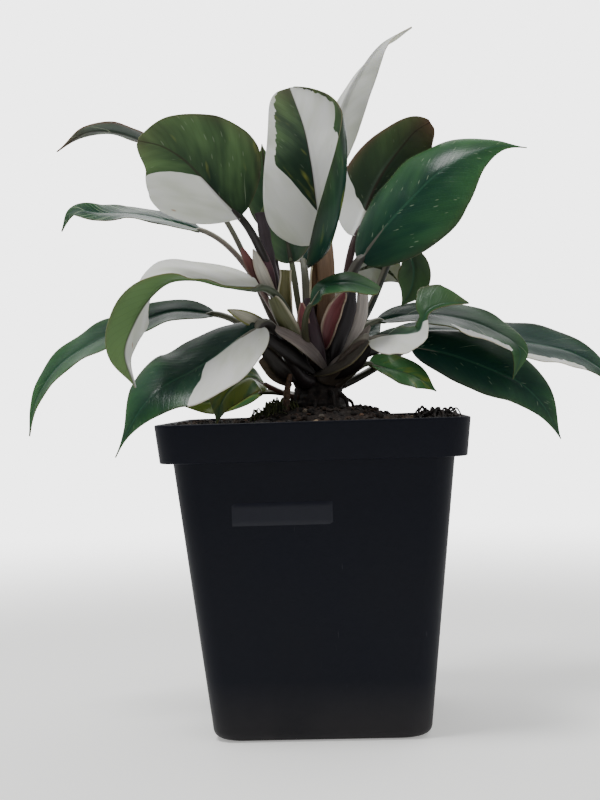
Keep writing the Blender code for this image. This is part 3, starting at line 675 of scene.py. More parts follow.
# foot and head: the stalk's colour at the stem and at the blade. pale: how strongly the light line along
# its upper side shows. wide: how much wider than thick it is, at the stem and at the blade.
stalkLooks = {
    "01": dict(foot="5b4636", head="7d6248", pale=0.1, wide=(1.6, 2.0)),
    "02": dict(foot="2a2226", head="2b2723", pale=0.2, wide=(1.5, 1.0)),
    "03": dict(foot="4a3a34", head="6b6f60", pale=0.5, wide=(1.5, 1.0)),
    "04": dict(foot="6d4341", head="75776c", pale=0.6, wide=(1.7, 1.0)),
    "05": dict(foot="3c3429", head="5a6a55", pale=0.4, wide=(1.6, 1.3)),
    "07": dict(foot="2b2426", head="2c2a25", pale=0.4, wide=(1.7, 1.2)),
    "08": dict(foot="4a2f26", head="5b3d2e", pale=0.1, wide=(1.3, 1.0)),
    "10": dict(foot="a59a92", head="b9b3ac", pale=0.3, wide=(1.4, 1.0)),
    "11": dict(foot="4b3230", head="3a2a2a", pale=0.2, wide=(1.5, 1.0)),
    "12": dict(foot="2c2024", head="2e3029", pale=0.2, wide=(1.5, 1.1)),
    "14": dict(foot="1f201f", head="3a4038", pale=0.8, wide=(1.2, 1.0)),
    "15": dict(foot="a39a90", head="b4b0a6", pale=0.3, wide=(1.4, 1.0)),
    "16": dict(foot="4b443c", head="4e3f38", pale=0.5, wide=(1.8, 1.4)),
    "17": dict(foot="5a5348", head="5d6a55", pale=0.6, wide=(1.5, 1.0)),
    "18": dict(foot="2d2728", head="27302c", pale=0.3, wide=(1.5, 1.0)),
    "19": dict(foot="3b352f", head="4d5a49", pale=0.5, wide=(1.5, 1.0)),
    "22": dict(foot="2e2328", head="33282c", pale=0.1, wide=(1.6, 1.2)),
}
plainStalk = dict(foot="3f342e", head="4a5338", pale=0.3, wide=(1.5, 1.0))
stalkMesh = dict(
    steps=26,
    sides=18,
    sink=1.5,               # how deep the foot stands in the stem
    footReach=0.22,         # how far the stalk keeps its first way, as a share of its span
    headReach=0.35,         # and how far it already has its last way
    footThick=1.1,          # how thick its foot is, times the leaf's own stalk radius
    thinning=0.25,          # and how much of that it has lost at the blade
    flare=0.22,             # the share of it over which the foot widens, and by how much
    flareSize=0.5,
    groove=0.28,
    underBlade=(0.03, 0.22),    # where it runs on under the blade, as shares of the blade
    underSteps=7,
    underFade=(0.8, 0.2),       # how thick it is there
)
stemShape = dict(
    x=2,
    outline=((159.4, 14.5), (162, 14.6), (166, 12.9), (172, 12.3), (180, 10.6), (190, 8.6), (197, 5),
             (200, 1)),
    leanHeights=(180, 196),
    leanDegrees=(5, 50),
)


def stemRadius(height):
    heights, radii = zip(*stemShape["outline"])
    return float(np.interp(height, heights, radii))


# A closed tube over a curve. half is its half width and half thickness at each point, up the way its
# grooved upper side looks.
def sweep(name, points, half, up, groove):
    along = unit(np.gradient(points, axis=0))
    up = unit(up - (up * along).sum(axis=1, keepdims=True) * along)
    side = np.cross(along, up)
    turn = 2 * math.pi * np.arange(stalkMesh["sides"]) / stalkMesh["sides"]
    dip = 1 - groove * np.exp(-((turn - math.pi / 2) / 0.45) ** 2)
    ring = (
        side[:, None] * (half[:, 0, None] * np.cos(turn))[..., None]
        + up[:, None] * (half[:, 1, None] * np.sin(turn) * dip)[..., None]
    )
    mesh = gridMesh(name, points[:, None] + ring, around=True, ends=True)
    walked = np.concatenate([[0], np.cumsum(np.linalg.norm(np.diff(points, axis=0), axis=1))])
    girth = turn[None] * half.mean(axis=1)[:, None]
    spread = np.broadcast_to(walked[:, None], girth.shape)
    place = np.stack([girth, spread, np.full(girth.shape, walked[-1])], axis=-1)
    addValues(mesh, "stalkPlace", place.reshape(-1, 3))
    addValues(mesh, "upper", np.broadcast_to(np.clip(np.sin(turn), 0, 1)[None], girth.shape).ravel())
    return mesh, walked / walked[-1]


def shades(first, last, share, sides):
    first, last = (np.array(srgb(code)) for code in (first, last))
    return np.repeat(first + (last - first) * share[:, None], sides, axis=0)


def makeStalk(number, material):
    leaf = leafShapes[number]
    look = stalkLooks.get(number, plainStalk)
    angle, height = leaf["start"]
    lean = math.radians(np.interp(height, stemShape["leanHeights"], stemShape["leanDegrees"]))
    out = np.array([math.cos(math.radians(angle)), math.sin(math.radians(angle)), 0])
    firstWay = out * math.cos(lean) + np.array([0, 0, math.sin(lean)])
    first = np.array([stemShape["x"], 0, height]) + out * (stemRadius(height) - stalkMesh["sink"])
    rib = np.array(leaf["rib"], float)
    lastWay = unit(rib[1] - rib[0])
    last = rib[0]
    span = np.linalg.norm(last - first)
    second = first + firstWay * span * leaf.get("reach", stalkMesh["footReach"])
    third = last - lastWay * span * stalkMesh["headReach"]
    t = np.linspace(0, 1, stalkMesh["steps"])[:, None]
    curve = (1 - t) ** 3 * first + 3 * (1 - t) ** 2 * t * second + 3 * (1 - t) * t**2 * third + t**3 * last
    radius = leaf["stalk"]
    face = unit(np.array(leaf["face"][0], float))
    under = stalkMesh["underSteps"]
    onward = through(leaf["rib"], np.linspace(*stalkMesh["underBlade"], under))
    fade = np.linspace(*stalkMesh["underFade"], under)
    points = np.concatenate([curve, onward - face * (radius * fade * 0.6 + 0.4)[:, None]])
    share = np.linspace(0, 1, stalkMesh["steps"])
    flare = 1 + stalkMesh["flareSize"] * np.clip(1 - share / stalkMesh["flare"], 0, 1) ** 2
    thick = stalkMesh["footThick"] - stalkMesh["thinning"] * share
    thick = np.concatenate([radius * thick * flare, radius * fade * 0.75])
    wide = np.concatenate([np.interp(share, [0, 1], look["wide"]), np.linspace(look["wide"][1], 1, under)])
    up = np.array([-out[0], -out[1], 0.6])
    blend = np.linspace(0, 1, len(points))[:, None]
    up = unit((1 - blend) * unit(up) + blend * face)
    half = np.stack([thick * wide, thick], axis=1)
    mesh, walked = sweep(f"leafStalk{number}", points, half, up, stalkMesh["groove"])
    addValues(mesh, "tint", shades(look["foot"], look["head"], walked, stalkMesh["sides"]))
    addValues(mesh, "paleLine", np.full(len(mesh.vertices), look["pale"]))
    addPiece(f"leafStalk{number}", mesh, [material], [f"leaf_{number}_stalk"])


# Leaf stalk: smooth living skin, stretched lengthwise as it grew. The eye gets a satin tube with fine
# light and dark lines along it and a paler groove on top.
stalkFinish = dict(
    linesPerMm=1.6,
    stretch=(1.1, 0.05, 1),     # which makes the lines 0.6 mm wide and 12 mm long
    lineHeight=0.2,
    lineShades=(0.8, 1.15),
    paleLine="aaa797",
    ior=1.42,
)


def satinStalk(name, roughness):
    material, tree, shader = startMaterial(name)
    place = addNode(tree, "Attribute", attribute_name="stalkPlace").outputs["Vector"]
    tint = addNode(tree, "Attribute", attribute_name="tint").outputs["Color"]
    upper = addNode(tree, "Attribute", attribute_name="upper").outputs["Fac"]
    pale = addNode(tree, "Attribute", attribute_name="paleLine").outputs["Fac"]
    stretch, perMm = stalkFinish["stretch"], stalkFinish["linesPerMm"]
    drawn = addNode(tree, "VectorMath", {0: place, 1: stretch}, operation="MULTIPLY").outputs[0]
    lines = addNode(tree, "TexNoise", {"Vector": drawn, "Scale": perMm, "Detail": 3.0}).outputs["Fac"]
    dark, light = stalkFinish["lineShades"]
    bright = addNode(tree, "MapRange", {0: lines, 1: 0.3, 2: 0.7, 3: dark, 4: light}).outputs[0]
    lit = addNode(tree, "VectorMath", {0: tint, "Scale": bright}, operation="SCALE").outputs[0]
    edge = addNode(tree, "MapRange", {0: upper, 1: 0.55, 2: 0.95}, **smooth).outputs[0]
    strip = addNode(tree, "Math", {0: edge, 1: pale}, operation="MULTIPLY").outputs[0]
    broken = addNode(tree, "Math", {0: strip, 1: bright}, operation="MULTIPLY", use_clamp=True)
    hue = srgb(stalkFinish["paleLine"])
    colour = addNode(tree, "Mix", {0: broken.outputs[0], 6: lit, 7: hue}, data_type="RGBA")
    height = stalkFinish["lineHeight"] * mm
    bump = addNode(tree, "Bump", {"Height": lines, "Distance": height, "Strength": 0.5})
    fill(tree, shader, {
        "Base Color": colour.outputs[2],
        "Roughness": roughness,
        "Normal": bump.outputs[0],
        "IOR": stalkFinish["ior"],
        "Subsurface Weight": 0.08,
        "Subsurface Radius": (1.0, 0.6, 0.4),
        "Subsurface Scale": 0.001,
    })
    return material


stalkSkin = satinStalk("satinStalk", 0.38)
for number in leafShapes:
    makeStalk(number, stalkSkin)
print("stalks done")

# Scoops that clasp the stalks. inner is the colour of their broad middle, edge that of the rim.
# blunt: 0 ends in a point, 1 is cut off square.
crownShapes = {
    "sheathLeft": dict(rib=[(-7, -15, 186), (-12, -19, 198), (-17, -22, 209), (-20, -23, 216)],
                       face=[(0.5, 0.85, 0.2)], width=6.5, curl=75, blunt=0.7, inner="5f6142",
                       edge="c9c2ac", stands="sheath_left"),
    "sheathRight": dict(rib=[(6, -12, 190), (9, -16, 200), (13, -19, 210), (17, -19, 218)],
                        face=[(-0.3, -0.9, 0.3)], width=5.4, curl=65, blunt=0.4, inner="84484c",
                        edge="b39f8c", stands="sheath_right"),
    "newLeafRolled": dict(rib=[(2, -3, 196), (2, -8, 214), (2.5, -10, 229), (3, -9, 241)],
                          face=[(0.1, -1, 0.1)], width=5.5, curl=120, blunt=0.4, inner="5d4326",
                          edge="c9bea2", stands="new_leaf_spike"),
    "newLeafSecond": dict(rib=[(7.5, -4, 200), (8, -7, 218), (8.5, -6, 236)], face=[(0.2, -1, 0.1)],
                          width=3.4, curl=110, blunt=0.3, inner="6d5836", edge="bfb294"),
    "scarStalk": dict(rib=[(-14, -10, 200), (-19, -11, 222), (-22, -7, 242), (-25, -1, 262)],
                      face=[(0.3, -0.9, 0)], width=3.4, curl=-75, blunt=1, inner="2b2026",
                      edge="2b2026"),
    "scarNotch": dict(rib=[(-18, -13, 216), (-21, -12, 228), (-24, -9, 242)],
                      face=[(0.3, -0.9, 0)], width=2.6, curl=-60, blunt=0.4, inner="4a2f37",
                      edge="5a3b42"),
    "creamStub": dict(rib=[(-12, -10, 200), (-14, -13, 216), (-13, -14, 231)], face=[(0.2, -0.9, 0.1)],
                      width=4.8, curl=95, blunt=0.9, inner="6f6c46", edge="c4bda6"),
    "creamFlank": dict(rib=[(-17, -13, 214), (-24, -16, 228), (-29, -14, 242)], face=[(0.3, -0.9, 0.2)],
                       width=3.2, curl=-50, blunt=0.1, inner="cbc6ba", edge="b8a89a"),
    "redSheath": dict(rib=[(-22, -13, 218), (-29, -15, 231), (-35, -12, 243)], face=[(0.3, -0.9, 0.2)],
                      width=2.4, curl=-60, blunt=0.3, inner="5c3431", edge="6e4a42"),
    "pointedSheath": dict(rib=[(-17, -12, 196), (-27, -18, 203), (-36, -23, 208), (-42, -26, 211)],
                          face=[(0, -0.9, 0.5)], width=4.2, curl=35, blunt=0, inner="b9b6a4",
                          edge="7f8048"),
    "pinkSheath": dict(rib=[(-1, -12, 190), (-4, -16, 201), (-5, -17, 214)], face=[(0, -1, 0.1)],
                       width=3.6, curl=70, blunt=0.2, inner="8a4c50", edge="a9877c"),
    "darkStalkFront": dict(rib=[(6, -14, 178), (2, -18, 192), (-1, -17, 206), (-2, -14, 216)],
                           face=[(0.2, -1, 0)], width=4.2, curl=-80, blunt=0.6, inner="36242c",
                           edge="3b2a2e"),
    "darkStalkRight": dict(rib=[(9, -10, 182), (14, -13, 196), (19, -10, 210), (21, -5, 220)],
                           face=[(0.3, -1, 0)], width=4.6, curl=-75, blunt=0.7, inner="221c20",
                           edge="2d2629"),
    "paleStalk": dict(rib=[(12, -8, 184), (20, -9, 196), (25, -5, 208), (26, 0, 220)], face=[(0.2, -1, 0)],
                      width=3.8, curl=-70, blunt=0.8, inner="b0a8a2", edge="b9b2a8"),
    # A stalk base coloured grey: painted highlight where light catches the bases of the stalks.
    "paintedHighlightFlank": dict(rib=[(7, -15, 179), (2, -19, 187), (-7, -23, 195), (-18, -26, 201)],
                      face=[(0.2, -0.8, 0.7)], width=4.6, curl=-55, blunt=0.6, inner="746a66",
                      edge="8d837a"),
    # A near-black sheet: painted shade, standing for the shadow among the stalk bases.
    "paintedShadeFlank": dict(rib=[(0, -14, 178), (-7, -18, 185), (-17, -22, 193), (-26, -25, 199)],
                       face=[(0, -0.9, 0.4)], width=4, curl=-70, blunt=0.5, inner="1f1a19",
                       edge="2a2421"),
    "brownSheath": dict(rib=[(-9, -12, 174), (-17, -17, 181), (-25, -20, 191)],
                        face=[(-0.3, -0.9, 0.3)], width=4, curl=-65, blunt=0.7, inner="29231f",
                        edge="3a3229"),
    "drySheath": dict(rib=[(-12, -8, 172), (-20, -12, 178), (-27, -15, 186)], face=[(-0.4, -0.8, 0.5)],
                      width=3, curl=-40, blunt=0.7, inner="6d5d49", edge="8a765c"),
    "claspRight": dict(rib=[(0, -15, 177), (9, -19, 180), (19, -26, 185), (28, -30, 193)],
                       face=[(-0.2, -0.8, 0.6)], width=3.2, curl=-80, blunt=0.5, inner="453f38",
                       edge="8a8263"),
    # A near-black sheet: painted shade, standing for the shadow under the right-hand stalk bases.
    "paintedShadeRight": dict(rib=[(5, -11, 175), (13, -15, 178), (22, -21, 183), (29, -26, 190)],
                       face=[(0, -1, 0.1)], width=4, curl=-75, blunt=0.4, inner="1d1718",
                       edge="241d1e"),
    "paleStrip": dict(rib=[(7, -13, 181), (16, -17, 187), (24, -20, 194), (29, -20, 201)],
                      face=[(0, -0.8, 0.6)], width=2.8, curl=-55, blunt=0.4, inner="8a817b",
                      edge="a09890"),
}
crownMesh = dict(
    rows=30,
    columns=9,
    thickness=0.8,
    fold=5,
    dents=0.6,
    rimStart=0.72,          # where the rim's colour sets in, from the middle (0) to the margin (1)
    rimFade=0.18,
    # painted shade: how much darker each sheath's foot is drawn, where the crown's stalks shade it
    paintedFootShade=0.35,         # how dark it is at its foot
)


def makeSheath(name, look, material):
    side = (look["width"], 0.5, crownMesh["fold"], look["curl"])
    shape = dict(rib=look["rib"], face=look["face"], left=side, right=side, tip=0.3 - 1.0 * look["blunt"])
    points, across, reach, walked = bladeSurface(shape, crownMesh["rows"], crownMesh["columns"])
    wobble = [noise.noise(tuple(spot * 0.13)) for spot in points.reshape(-1, 3)]
    mesh = gridMesh(name, raised(points, crownMesh["dents"] * np.reshape(wobble, across.shape)))
    toMargin = (np.abs(across) / reach).ravel()
    rim = np.clip((toMargin - crownMesh["rimStart"]) / crownMesh["rimFade"], 0, 1)[:, None]
    inner, edge = (np.array(srgb(look[part])) for part in ("inner", "edge"))
    # Painted shade: the tint darkens toward the foot, where the sheaths sit in the crown's shade.
    dark = crownMesh["paintedFootShade"]
    fade = dark + (1 - dark) * np.clip(1.6 * walked / walked.max(), 0, 1).ravel()[:, None]
    addValues(mesh, "tint", (inner * (1 - rim) + edge * rim) * fade)
    place = [across.ravel(), walked.ravel(), np.full(across.size, 3.0)]
    addValues(mesh, "stalkPlace", np.stack(place, axis=1))
    addValues(mesh, "upper", np.zeros(across.size))
    addValues(mesh, "paleLine", np.zeros(across.size))
    piece = addPiece(name, mesh, [material], [look["stands"]] if "stands" in look else [])
    solidify = piece.modifiers.new("Thickness", "SOLIDIFY")
    solidify.thickness = crownMesh["thickness"] * mm
    solidify.offset = 0


sheathSkin = satinStalk("satinSheath", 0.45)
for name, look in crownShapes.items():
    makeSheath(name, look, sheathSkin)
print("crown done")

stemLooks = dict(
    rows=90,
    sides=72,
    ringSpacing=3.4,
    ringDepth=0.7,
    barkDepth=1.5,
    sink=6,
    nubs=11,
    nubHeight=(163, 176),
    nubReach=(2.5, 5),
    nubThick=(0.9, 1.5),
)


def makeStem(material):
    bottom = stemShape["outline"][0][0] - stemLooks["sink"]
    top = stemShape["outline"][-1][0]
    heights = np.linspace(bottom, top, stemLooks["rows"])
    turn = 2 * math.pi * np.arange(stemLooks["sides"]) / stemLooks["sides"]
    points = np.zeros((len(heights), len(turn), 3))
    for row, height in enumerate(heights):
        radius = stemRadius(height)
        slope = np.sin(turn + 0.4 * math.sin(height / 5))
        ring = stemLooks["ringDepth"] * abs(math.sin(math.pi * height / stemLooks["ringSpacing"]))
        for column, angle in enumerate(turn):
            spot = (3.1 * math.cos(angle), 3.1 * math.sin(angle), height * 0.16)
            rough = noise.fractal(spot, 1.0, 2.0, 4, noise_basis="PERLIN_ORIGINAL")
            reach = max(0.2, radius + min(1, radius / 6) * (stemLooks["barkDepth"] * rough - ring) - 0.3)
            lift = 0.8 * slope[column] * min(1, radius / 8)
            x = stemShape["x"] + reach * math.cos(angle)
            points[row, column] = (x, reach * math.sin(angle), height + lift)
    mesh = gridMesh("mainStem", points, around=True, ends=True)
    addPiece("mainStem", mesh, [material], ["main_stem"])


# Round strands through points: roots, fibres and twigs, several joined in one mesh.
def makeStrands(name, strands, material, stands=()):
    curve = bpy.data.curves.new(name, "CURVE")
    curve.dimensions = "3D"
    curve.bevel_depth = mm
    curve.bevel_resolution = 2
    curve.resolution_u = 6
    curve.use_fill_caps = True
    for points in strands:
        spline = curve.splines.new("NURBS")
        spline.points.add(len(points) - 1)
        spline.use_endpoint_u = True
        spline.order_u = 3
        for place, (x, y, z, radius) in zip(spline.points, points):
            place.co = (x * mm, y * mm, z * mm, 1)
            place.radius = radius
    holder = bpy.data.objects.new(name, curve)
    bpy.context.scene.collection.objects.link(holder)
    bpy.context.view_layer.update()
    mesh = bpy.data.meshes.new_from_object(holder.evaluated_get(bpy.context.evaluated_depsgraph_get()))
    bpy.data.objects.remove(holder)
    mesh.shade_smooth()
    return addPiece(name, mesh, [material], stands)


def rootNubs(draw):
    strands = []
    for turn in range(stemLooks["nubs"]):
        angle = 2 * math.pi * (turn + draw.uniform(-0.3, 0.3)) / stemLooks["nubs"]
        height = draw.uniform(*stemLooks["nubHeight"])
        radius = stemRadius(height)
        reach = draw.uniform(*stemLooks["nubReach"])
        thick = draw.uniform(*stemLooks["nubThick"])
        away = [radius - 1, radius + 0.6 * reach, radius + reach, radius + 1.1 * reach]
        drop = [0, -1, -4, -9]
        thin = [1, 0.95, 0.8, 0.45]
        strand = []
        for far, fall, share in zip(away, drop, thin):
            x, y = stemShape["x"] + far * math.cos(angle), far * math.sin(angle)
            strand.append((x, y, max(height + fall, 154), thick * share))
        strands.append(strand)
    return strands


# Living bark at the foot of the plant: cork and old leaf scars, damp. The eye gets a rough, nearly
# black brown with paler ridges. scale: ridges to the metre, so that 420 makes them 2.4 mm wide.
def corkBark(name, dark, light, roughness, scale):
    material, tree, shader = startMaterial(name)
    spot = addNode(tree, "TexCoord").outputs["Object"]
    grain = addNode(tree, "TexNoise", {"Vector": spot, "Scale": scale, "Detail": 6.0, "Roughness": 0.65})
    colour = addNode(tree, "ValToRGB", {0: grain.outputs["Fac"]},
                     stops=((0.38, srgb(dark)), (0.72, srgb(light))))
    bump = addNode(tree, "Bump", {"Height": grain.outputs["Fac"], "Distance": 0.0008, "Strength": 0.8})
    fill(tree, shader, {
        "Base Color": colour.outputs[0],
        "Roughness": roughness,
        "Normal": bump.outputs[0],
    })
    return material


draw = random.Random(7)
bark = corkBark("corkBark", "0e0c0d", "372c27", 0.75, 420)
rootSkin = corkBark("rootSkin", "2c1f19", "7a5a44", 0.7, 500)
makeStem(bark)
makeStrands("rootNubs", rootNubs(draw), bark)
stake = [(-15, -17, 154, 2.1), (-14.5, -16, 162, 1.9), (-14, -15.5, 170, 1.8), (-12, -15, 178, 1.3)]
makeStrands("aerialRoot", [stake], rootSkin, ["aerial_root"])
print("stem done")

potSizes = dict(
    base=106,
    bodyTop=135,
    bandBottom=146.4,
    rim=150,
    height=155,
    band=18.6,
    wall=1.6,
    corner=11,
    cornerSteps=14,
    footRounding=5,
    lip=0.7,
    drainHoles=8,
    drainRadius=4.5,
    drainSpread=34,
    drainOuter=1.25,        # every second hole stands so much farther out
    sharpAngle=38,
    labelMiddle=-15.3,
    labelWidth=49,
    labelZ=(105.4, 117.2),
    labelProud=0.28,
)


def roundedSquare(half, height, corner, steps):
    corner = min(corner, 0.45 * half)
    points = []
    for turn in range(4):
        middle = math.radians(90 * turn - 45)
        x = math.copysign(half - corner, math.cos(middle))
        y = math.copysign(half - corner, math.sin(middle))
        for step in range(steps + 1):
            angle = middle + math.radians(90 * step / steps - 45)
            points.append((x + corner * math.cos(angle), y + corner * math.sin(angle), height))
    return points


# The pot's wall as (half width, height) pairs: up its outside, over the rolled lip and down its inside.
def potProfile():
    size = potSizes
    bandFoot = size["height"] - size["band"]
    lean = (size["bodyTop"] - size["base"]) / 2 / bandFoot
    outline = []
    for turn in np.linspace(0, 90, 7):
        height = size["footRounding"] * (1 - math.cos(math.radians(turn)))
        inset = size["footRounding"] * (1 - math.sin(math.radians(turn)))
        outline.append((size["base"] / 2 + lean * height - inset, height))
    outline += [(size["base"] / 2 + lean * height, height) for height in (40, 80, 120)]
    neck = size["bodyTop"] / 2
    band = size["bandBottom"] / 2
    rim = size["rim"] / 2
    outline += [(neck - 0.1, bandFoot - 0.9), (neck, bandFoot - 0.3), (neck + 0.4, bandFoot)]
    outline += [(band - 0.6, bandFoot), (band - 0.1, bandFoot + 0.25), (band, bandFoot + 0.8)]
    outline += [(rim - 0.05, size["height"] - 1.2)]
    for turn in (0, 30, 60, 90, 120, 150, 180):
        out, up = math.cos(math.radians(turn)), math.sin(math.radians(turn))
        outline.append((rim - size["lip"] * (1 - out), size["height"] - size["lip"] * (1 - up)))
    inner = size["wall"]
    outline += [(band - inner, bandFoot + inner), (neck - inner, bandFoot + inner - 0.3)]
    outline += [(size["base"] / 2 + lean * height - inner, height) for height in (120, 40)]
    foot = size["base"] / 2 - inner
    outline += [(foot, size["footRounding"]), (foot - size["footRounding"], inner)]
    return outline


# Injection-moulded black polypropylene: cooled against a lightly sparked mould. The eye gets a dull
# blue-black with a broad soft sheen, fine scuffs and a little dust. Pattern scales are to the metre.
plastic = dict(
    grain=1400,             # sparks of 0.7 mm, coarser than real ones so that they show
    clouds=22,              # 45 mm
    scuffs=(900, 900, 45),  # 1 mm wide and 22 mm long
    scuffTurn=(0.5, 0.3, 0.4),
    dustTop=0.03,           # how far up from the ground dust lies, in m
    dark="040610",
    light="070b18",
    dust="5a554f",
    worn="474a50",
    polished="0c0f1c",
    rough=(0.42, 0.6),
    grainHeight=0.06,
    ior=1.49,
)


def mouldedPolypropylene(name):
    material, tree, shader = startMaterial(name)
    spot = addNode(tree, "TexCoord").outputs["Object"]
    grain = addNode(tree, "TexNoise", {"Vector": spot, "Scale": plastic["grain"], "Detail": 2.0})
    cloud = addNode(tree, "TexNoise", {"Vector": spot, "Scale": plastic["clouds"], "Detail": 4.0})
    grain, cloud = grain.outputs["Fac"], cloud.outputs["Fac"]
    upright = addNode(tree, "Mapping", {
        "Vector": spot,
        "Rotation": plastic["scuffTurn"],
        "Scale": plastic["scuffs"],
    }).outputs[0]
    scratch = addNode(tree, "TexNoise", {"Vector": upright, "Scale": 1.0, "Detail": 1.0}).outputs["Fac"]
    scuff = addNode(tree, "MapRange", {0: scratch, 1: 0.76, 2: 0.88}).outputs[0]
    patch = addNode(tree, "MapRange", {0: cloud, 1: 0.5, 2: 0.7}).outputs[0]
    worn = addNode(tree, "Math", {0: scuff, 1: patch}, operation="MULTIPLY").outputs[0]
    height = addNode(tree, "SeparateXYZ", {0: spot}).outputs[2]
    low = addNode(tree, "MapRange", {0: height, 1: plastic["dustTop"], 2: 0, 3: 0, 4: 0.35}).outputs[0]
    dust = addNode(tree, "Math", {0: low, 1: cloud}, operation="MULTIPLY").outputs[0]
    dark, light = srgb(plastic["dark"]), srgb(plastic["light"])
    colour = addNode(tree, "Mix", {0: cloud, 6: dark, 7: light}, data_type="RGBA").outputs[2]
    for cover, hue in ((dust, srgb(plastic["dust"])), (worn, srgb(plastic["worn"]))):
        colour = addNode(tree, "Mix", {0: cover, 6: colour, 7: hue}, data_type="RGBA").outputs[2]
    least, most = plastic["rough"]
    rough = addNode(tree, "MapRange", {0: cloud, 3: least, 4: most}).outputs[0]
    proud = plastic["grainHeight"] * mm
    bump = addNode(tree, "Bump", {"Height": grain, "Distance": proud, "Strength": 0.7})
    fill(tree, shader, {
        "Base Color": colour,
        "Roughness": rough,
        "Normal": bump.outputs[0],
        "IOR": plastic["ior"],
        "Specular IOR Level": 0.15,
    })
    return material


def makePot(material):
    size = potSizes
    corner, steps = size["corner"], size["cornerSteps"]
    rings = [roundedSquare(half, height, corner, steps) for half, height in potProfile()]
    mesh = gridMesh("pot", np.array(rings), around=True, ends=True)
    piece = addPiece("pot", mesh, [material], ["pot"])
    mesh.set_sharp_from_angle(angle=math.radians(size["sharpAngle"]))
    cutters = bpy.data.collections.new("cutters")
    bpy.context.scene.collection.children.link(cutters)
    for turn in range(size["drainHoles"]):
        angle = 2 * math.pi * turn / size["drainHoles"]
        spread = size["drainSpread"] * (size["drainOuter"] if turn % 2 else 1)
        place = (spread * math.cos(angle) * mm, spread * math.sin(angle) * mm, size["wall"] / 2 * mm)
        bpy.ops.mesh.primitive_cylinder_add(vertices=40, radius=size["drainRadius"] * mm,
                                            depth=6 * mm, location=place)
        cutter = bpy.context.object
        for holder in list(cutter.users_collection):
            holder.objects.unlink(cutter)
        cutters.objects.link(cutter)
        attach(cutter, rootBody)
        cutter.hide_render = True
        cutter.hide_viewport = False
        cutter.display_type = "WIRE"
    holes = piece.modifiers.new("Drain holes", "BOOLEAN")
    holes.operand_type = "COLLECTION"
    holes.collection = cutters
    applied = bpy.data.meshes.new_from_object(piece.evaluated_get(bpy.context.evaluated_depsgraph_get()))
    piece.modifiers.clear()
    piece.data = applied
    for cutter in list(cutters.objects):
        bpy.data.objects.remove(cutter)
    bpy.data.collections.remove(cutters)


# The blank plate on the front: a slightly raised field with soft corners, that follows the wall's lean.
def makeLabel(material):
    size = potSizes
    lean = (size["bodyTop"] - size["base"]) / 2 / (size["height"] - size["band"])
    rows = np.linspace(*size["labelZ"], 9)
    columns = np.linspace(-1, 1, 25)
    points = np.zeros((len(rows), len(columns), 3))
    for row, height in enumerate(rows):
        for column, across in enumerate(columns):
            edge = min(1 - abs(across), 1 - abs(2 * row / (len(rows) - 1) - 1))
            stand = size["labelProud"] if edge > 0.02 else -0.1
            x = size["labelMiddle"] + across * size["labelWidth"] / 2
            points[row, column] = (x, -(size["base"] / 2 + lean * height) - stand, height)
    mesh = gridMesh("labelPlate", points)
    addPiece("labelPlate", mesh, [material])


# The same plastic where the mould was polished: a smoother, slightly bluer field.
def polishedPolypropylene(name):
    material, tree, shader = startMaterial(name)
    fill(tree, shader, {
        "Base Color": srgb(plastic["polished"]),
        "Roughness": 0.4,
        "IOR": plastic["ior"],
        "Specular IOR Level": 0.25,
    })
    return material


polypropylene = mouldedPolypropylene("mouldedPolypropylene")
makePot(polypropylene)
makeLabel(polishedPolypropylene("polishedPolypropylene"))
print("pot done")

mixLooks = dict(
    level=152.2,
    lumpHeight=0.7,
    moundTop=159,
    moundFlat=21,
    moundFoot=46,
    cells=170,
    crustRise=0.5,          # the crust lies so far above the mix, and is so rough and so thick
    crustRelief=1.1,
    crustThick=1.5,
    crumbs=1500,
    crumbSize=(0.5, 1.9),
    chips=110,
    chipLength=(3, 9),
    pebbles=14,
    pebbleSize=(0.8, 1.9),
    clumpChips=70,
    clumpPlace=((60, 5), (-30, 4)),     # the middle and the spread, to the right and backward
    clumpRoots=70,
    fibres=60,
    fibreThick=0.22,
    mossShoots=240,
)


def mixHeight(x, y):
    slope = mixLooks["moundFoot"] - mixLooks["moundFlat"]
    reach = (mixLooks["moundFoot"] - math.hypot(x - stemShape["x"], y)) / slope
    rise = min(max(reach, 0), 1)
    lumps = mixLooks["lumpHeight"] * math.sin(x / 6 + 1) * math.cos(y / 7) * (1 - rise)
    mound = (mixLooks["moundTop"] - mixLooks["level"]) * rise * rise * (3 - 2 * rise)
    return mixLooks["level"] + lumps + mound


# The top of the mix: lumps of crumbs at every size, closed below so that it is a solid crust.
def makeCrust(material):
    half = potSizes["rim"] / 2 - potSizes["wall"] - 0.6
    shares = np.linspace(-1, 1, mixLooks["cells"])
    points = np.zeros((len(shares), len(shares), 3))
    for row, down in enumerate(shares):
        for column, across in enumerate(shares):
            # The square's grid is pulled in at its corners, to the round corners of the pot.
            pull = 1 - 0.035 * max(abs(across) + abs(down) - 1.6, 0) / 0.4
            x, y = half * across * pull, half * down * pull
            crumbs = noise.fractal((x * 0.28, y * 0.28, 4.0), 0.7, 2.1, 5, noise_basis="PERLIN_ORIGINAL")
            height = mixHeight(x, y) + mixLooks["crustRise"] + mixLooks["crustRelief"] * crumbs
            points[row, column] = (x, y, height)
    piece = addPiece("mixCrust", gridMesh("mixCrust", points), [material])
    solidify = piece.modifiers.new("Depth", "SOLIDIFY")
    solidify.thickness = mixLooks["crustThick"] * mm
    solidify.offset = -1


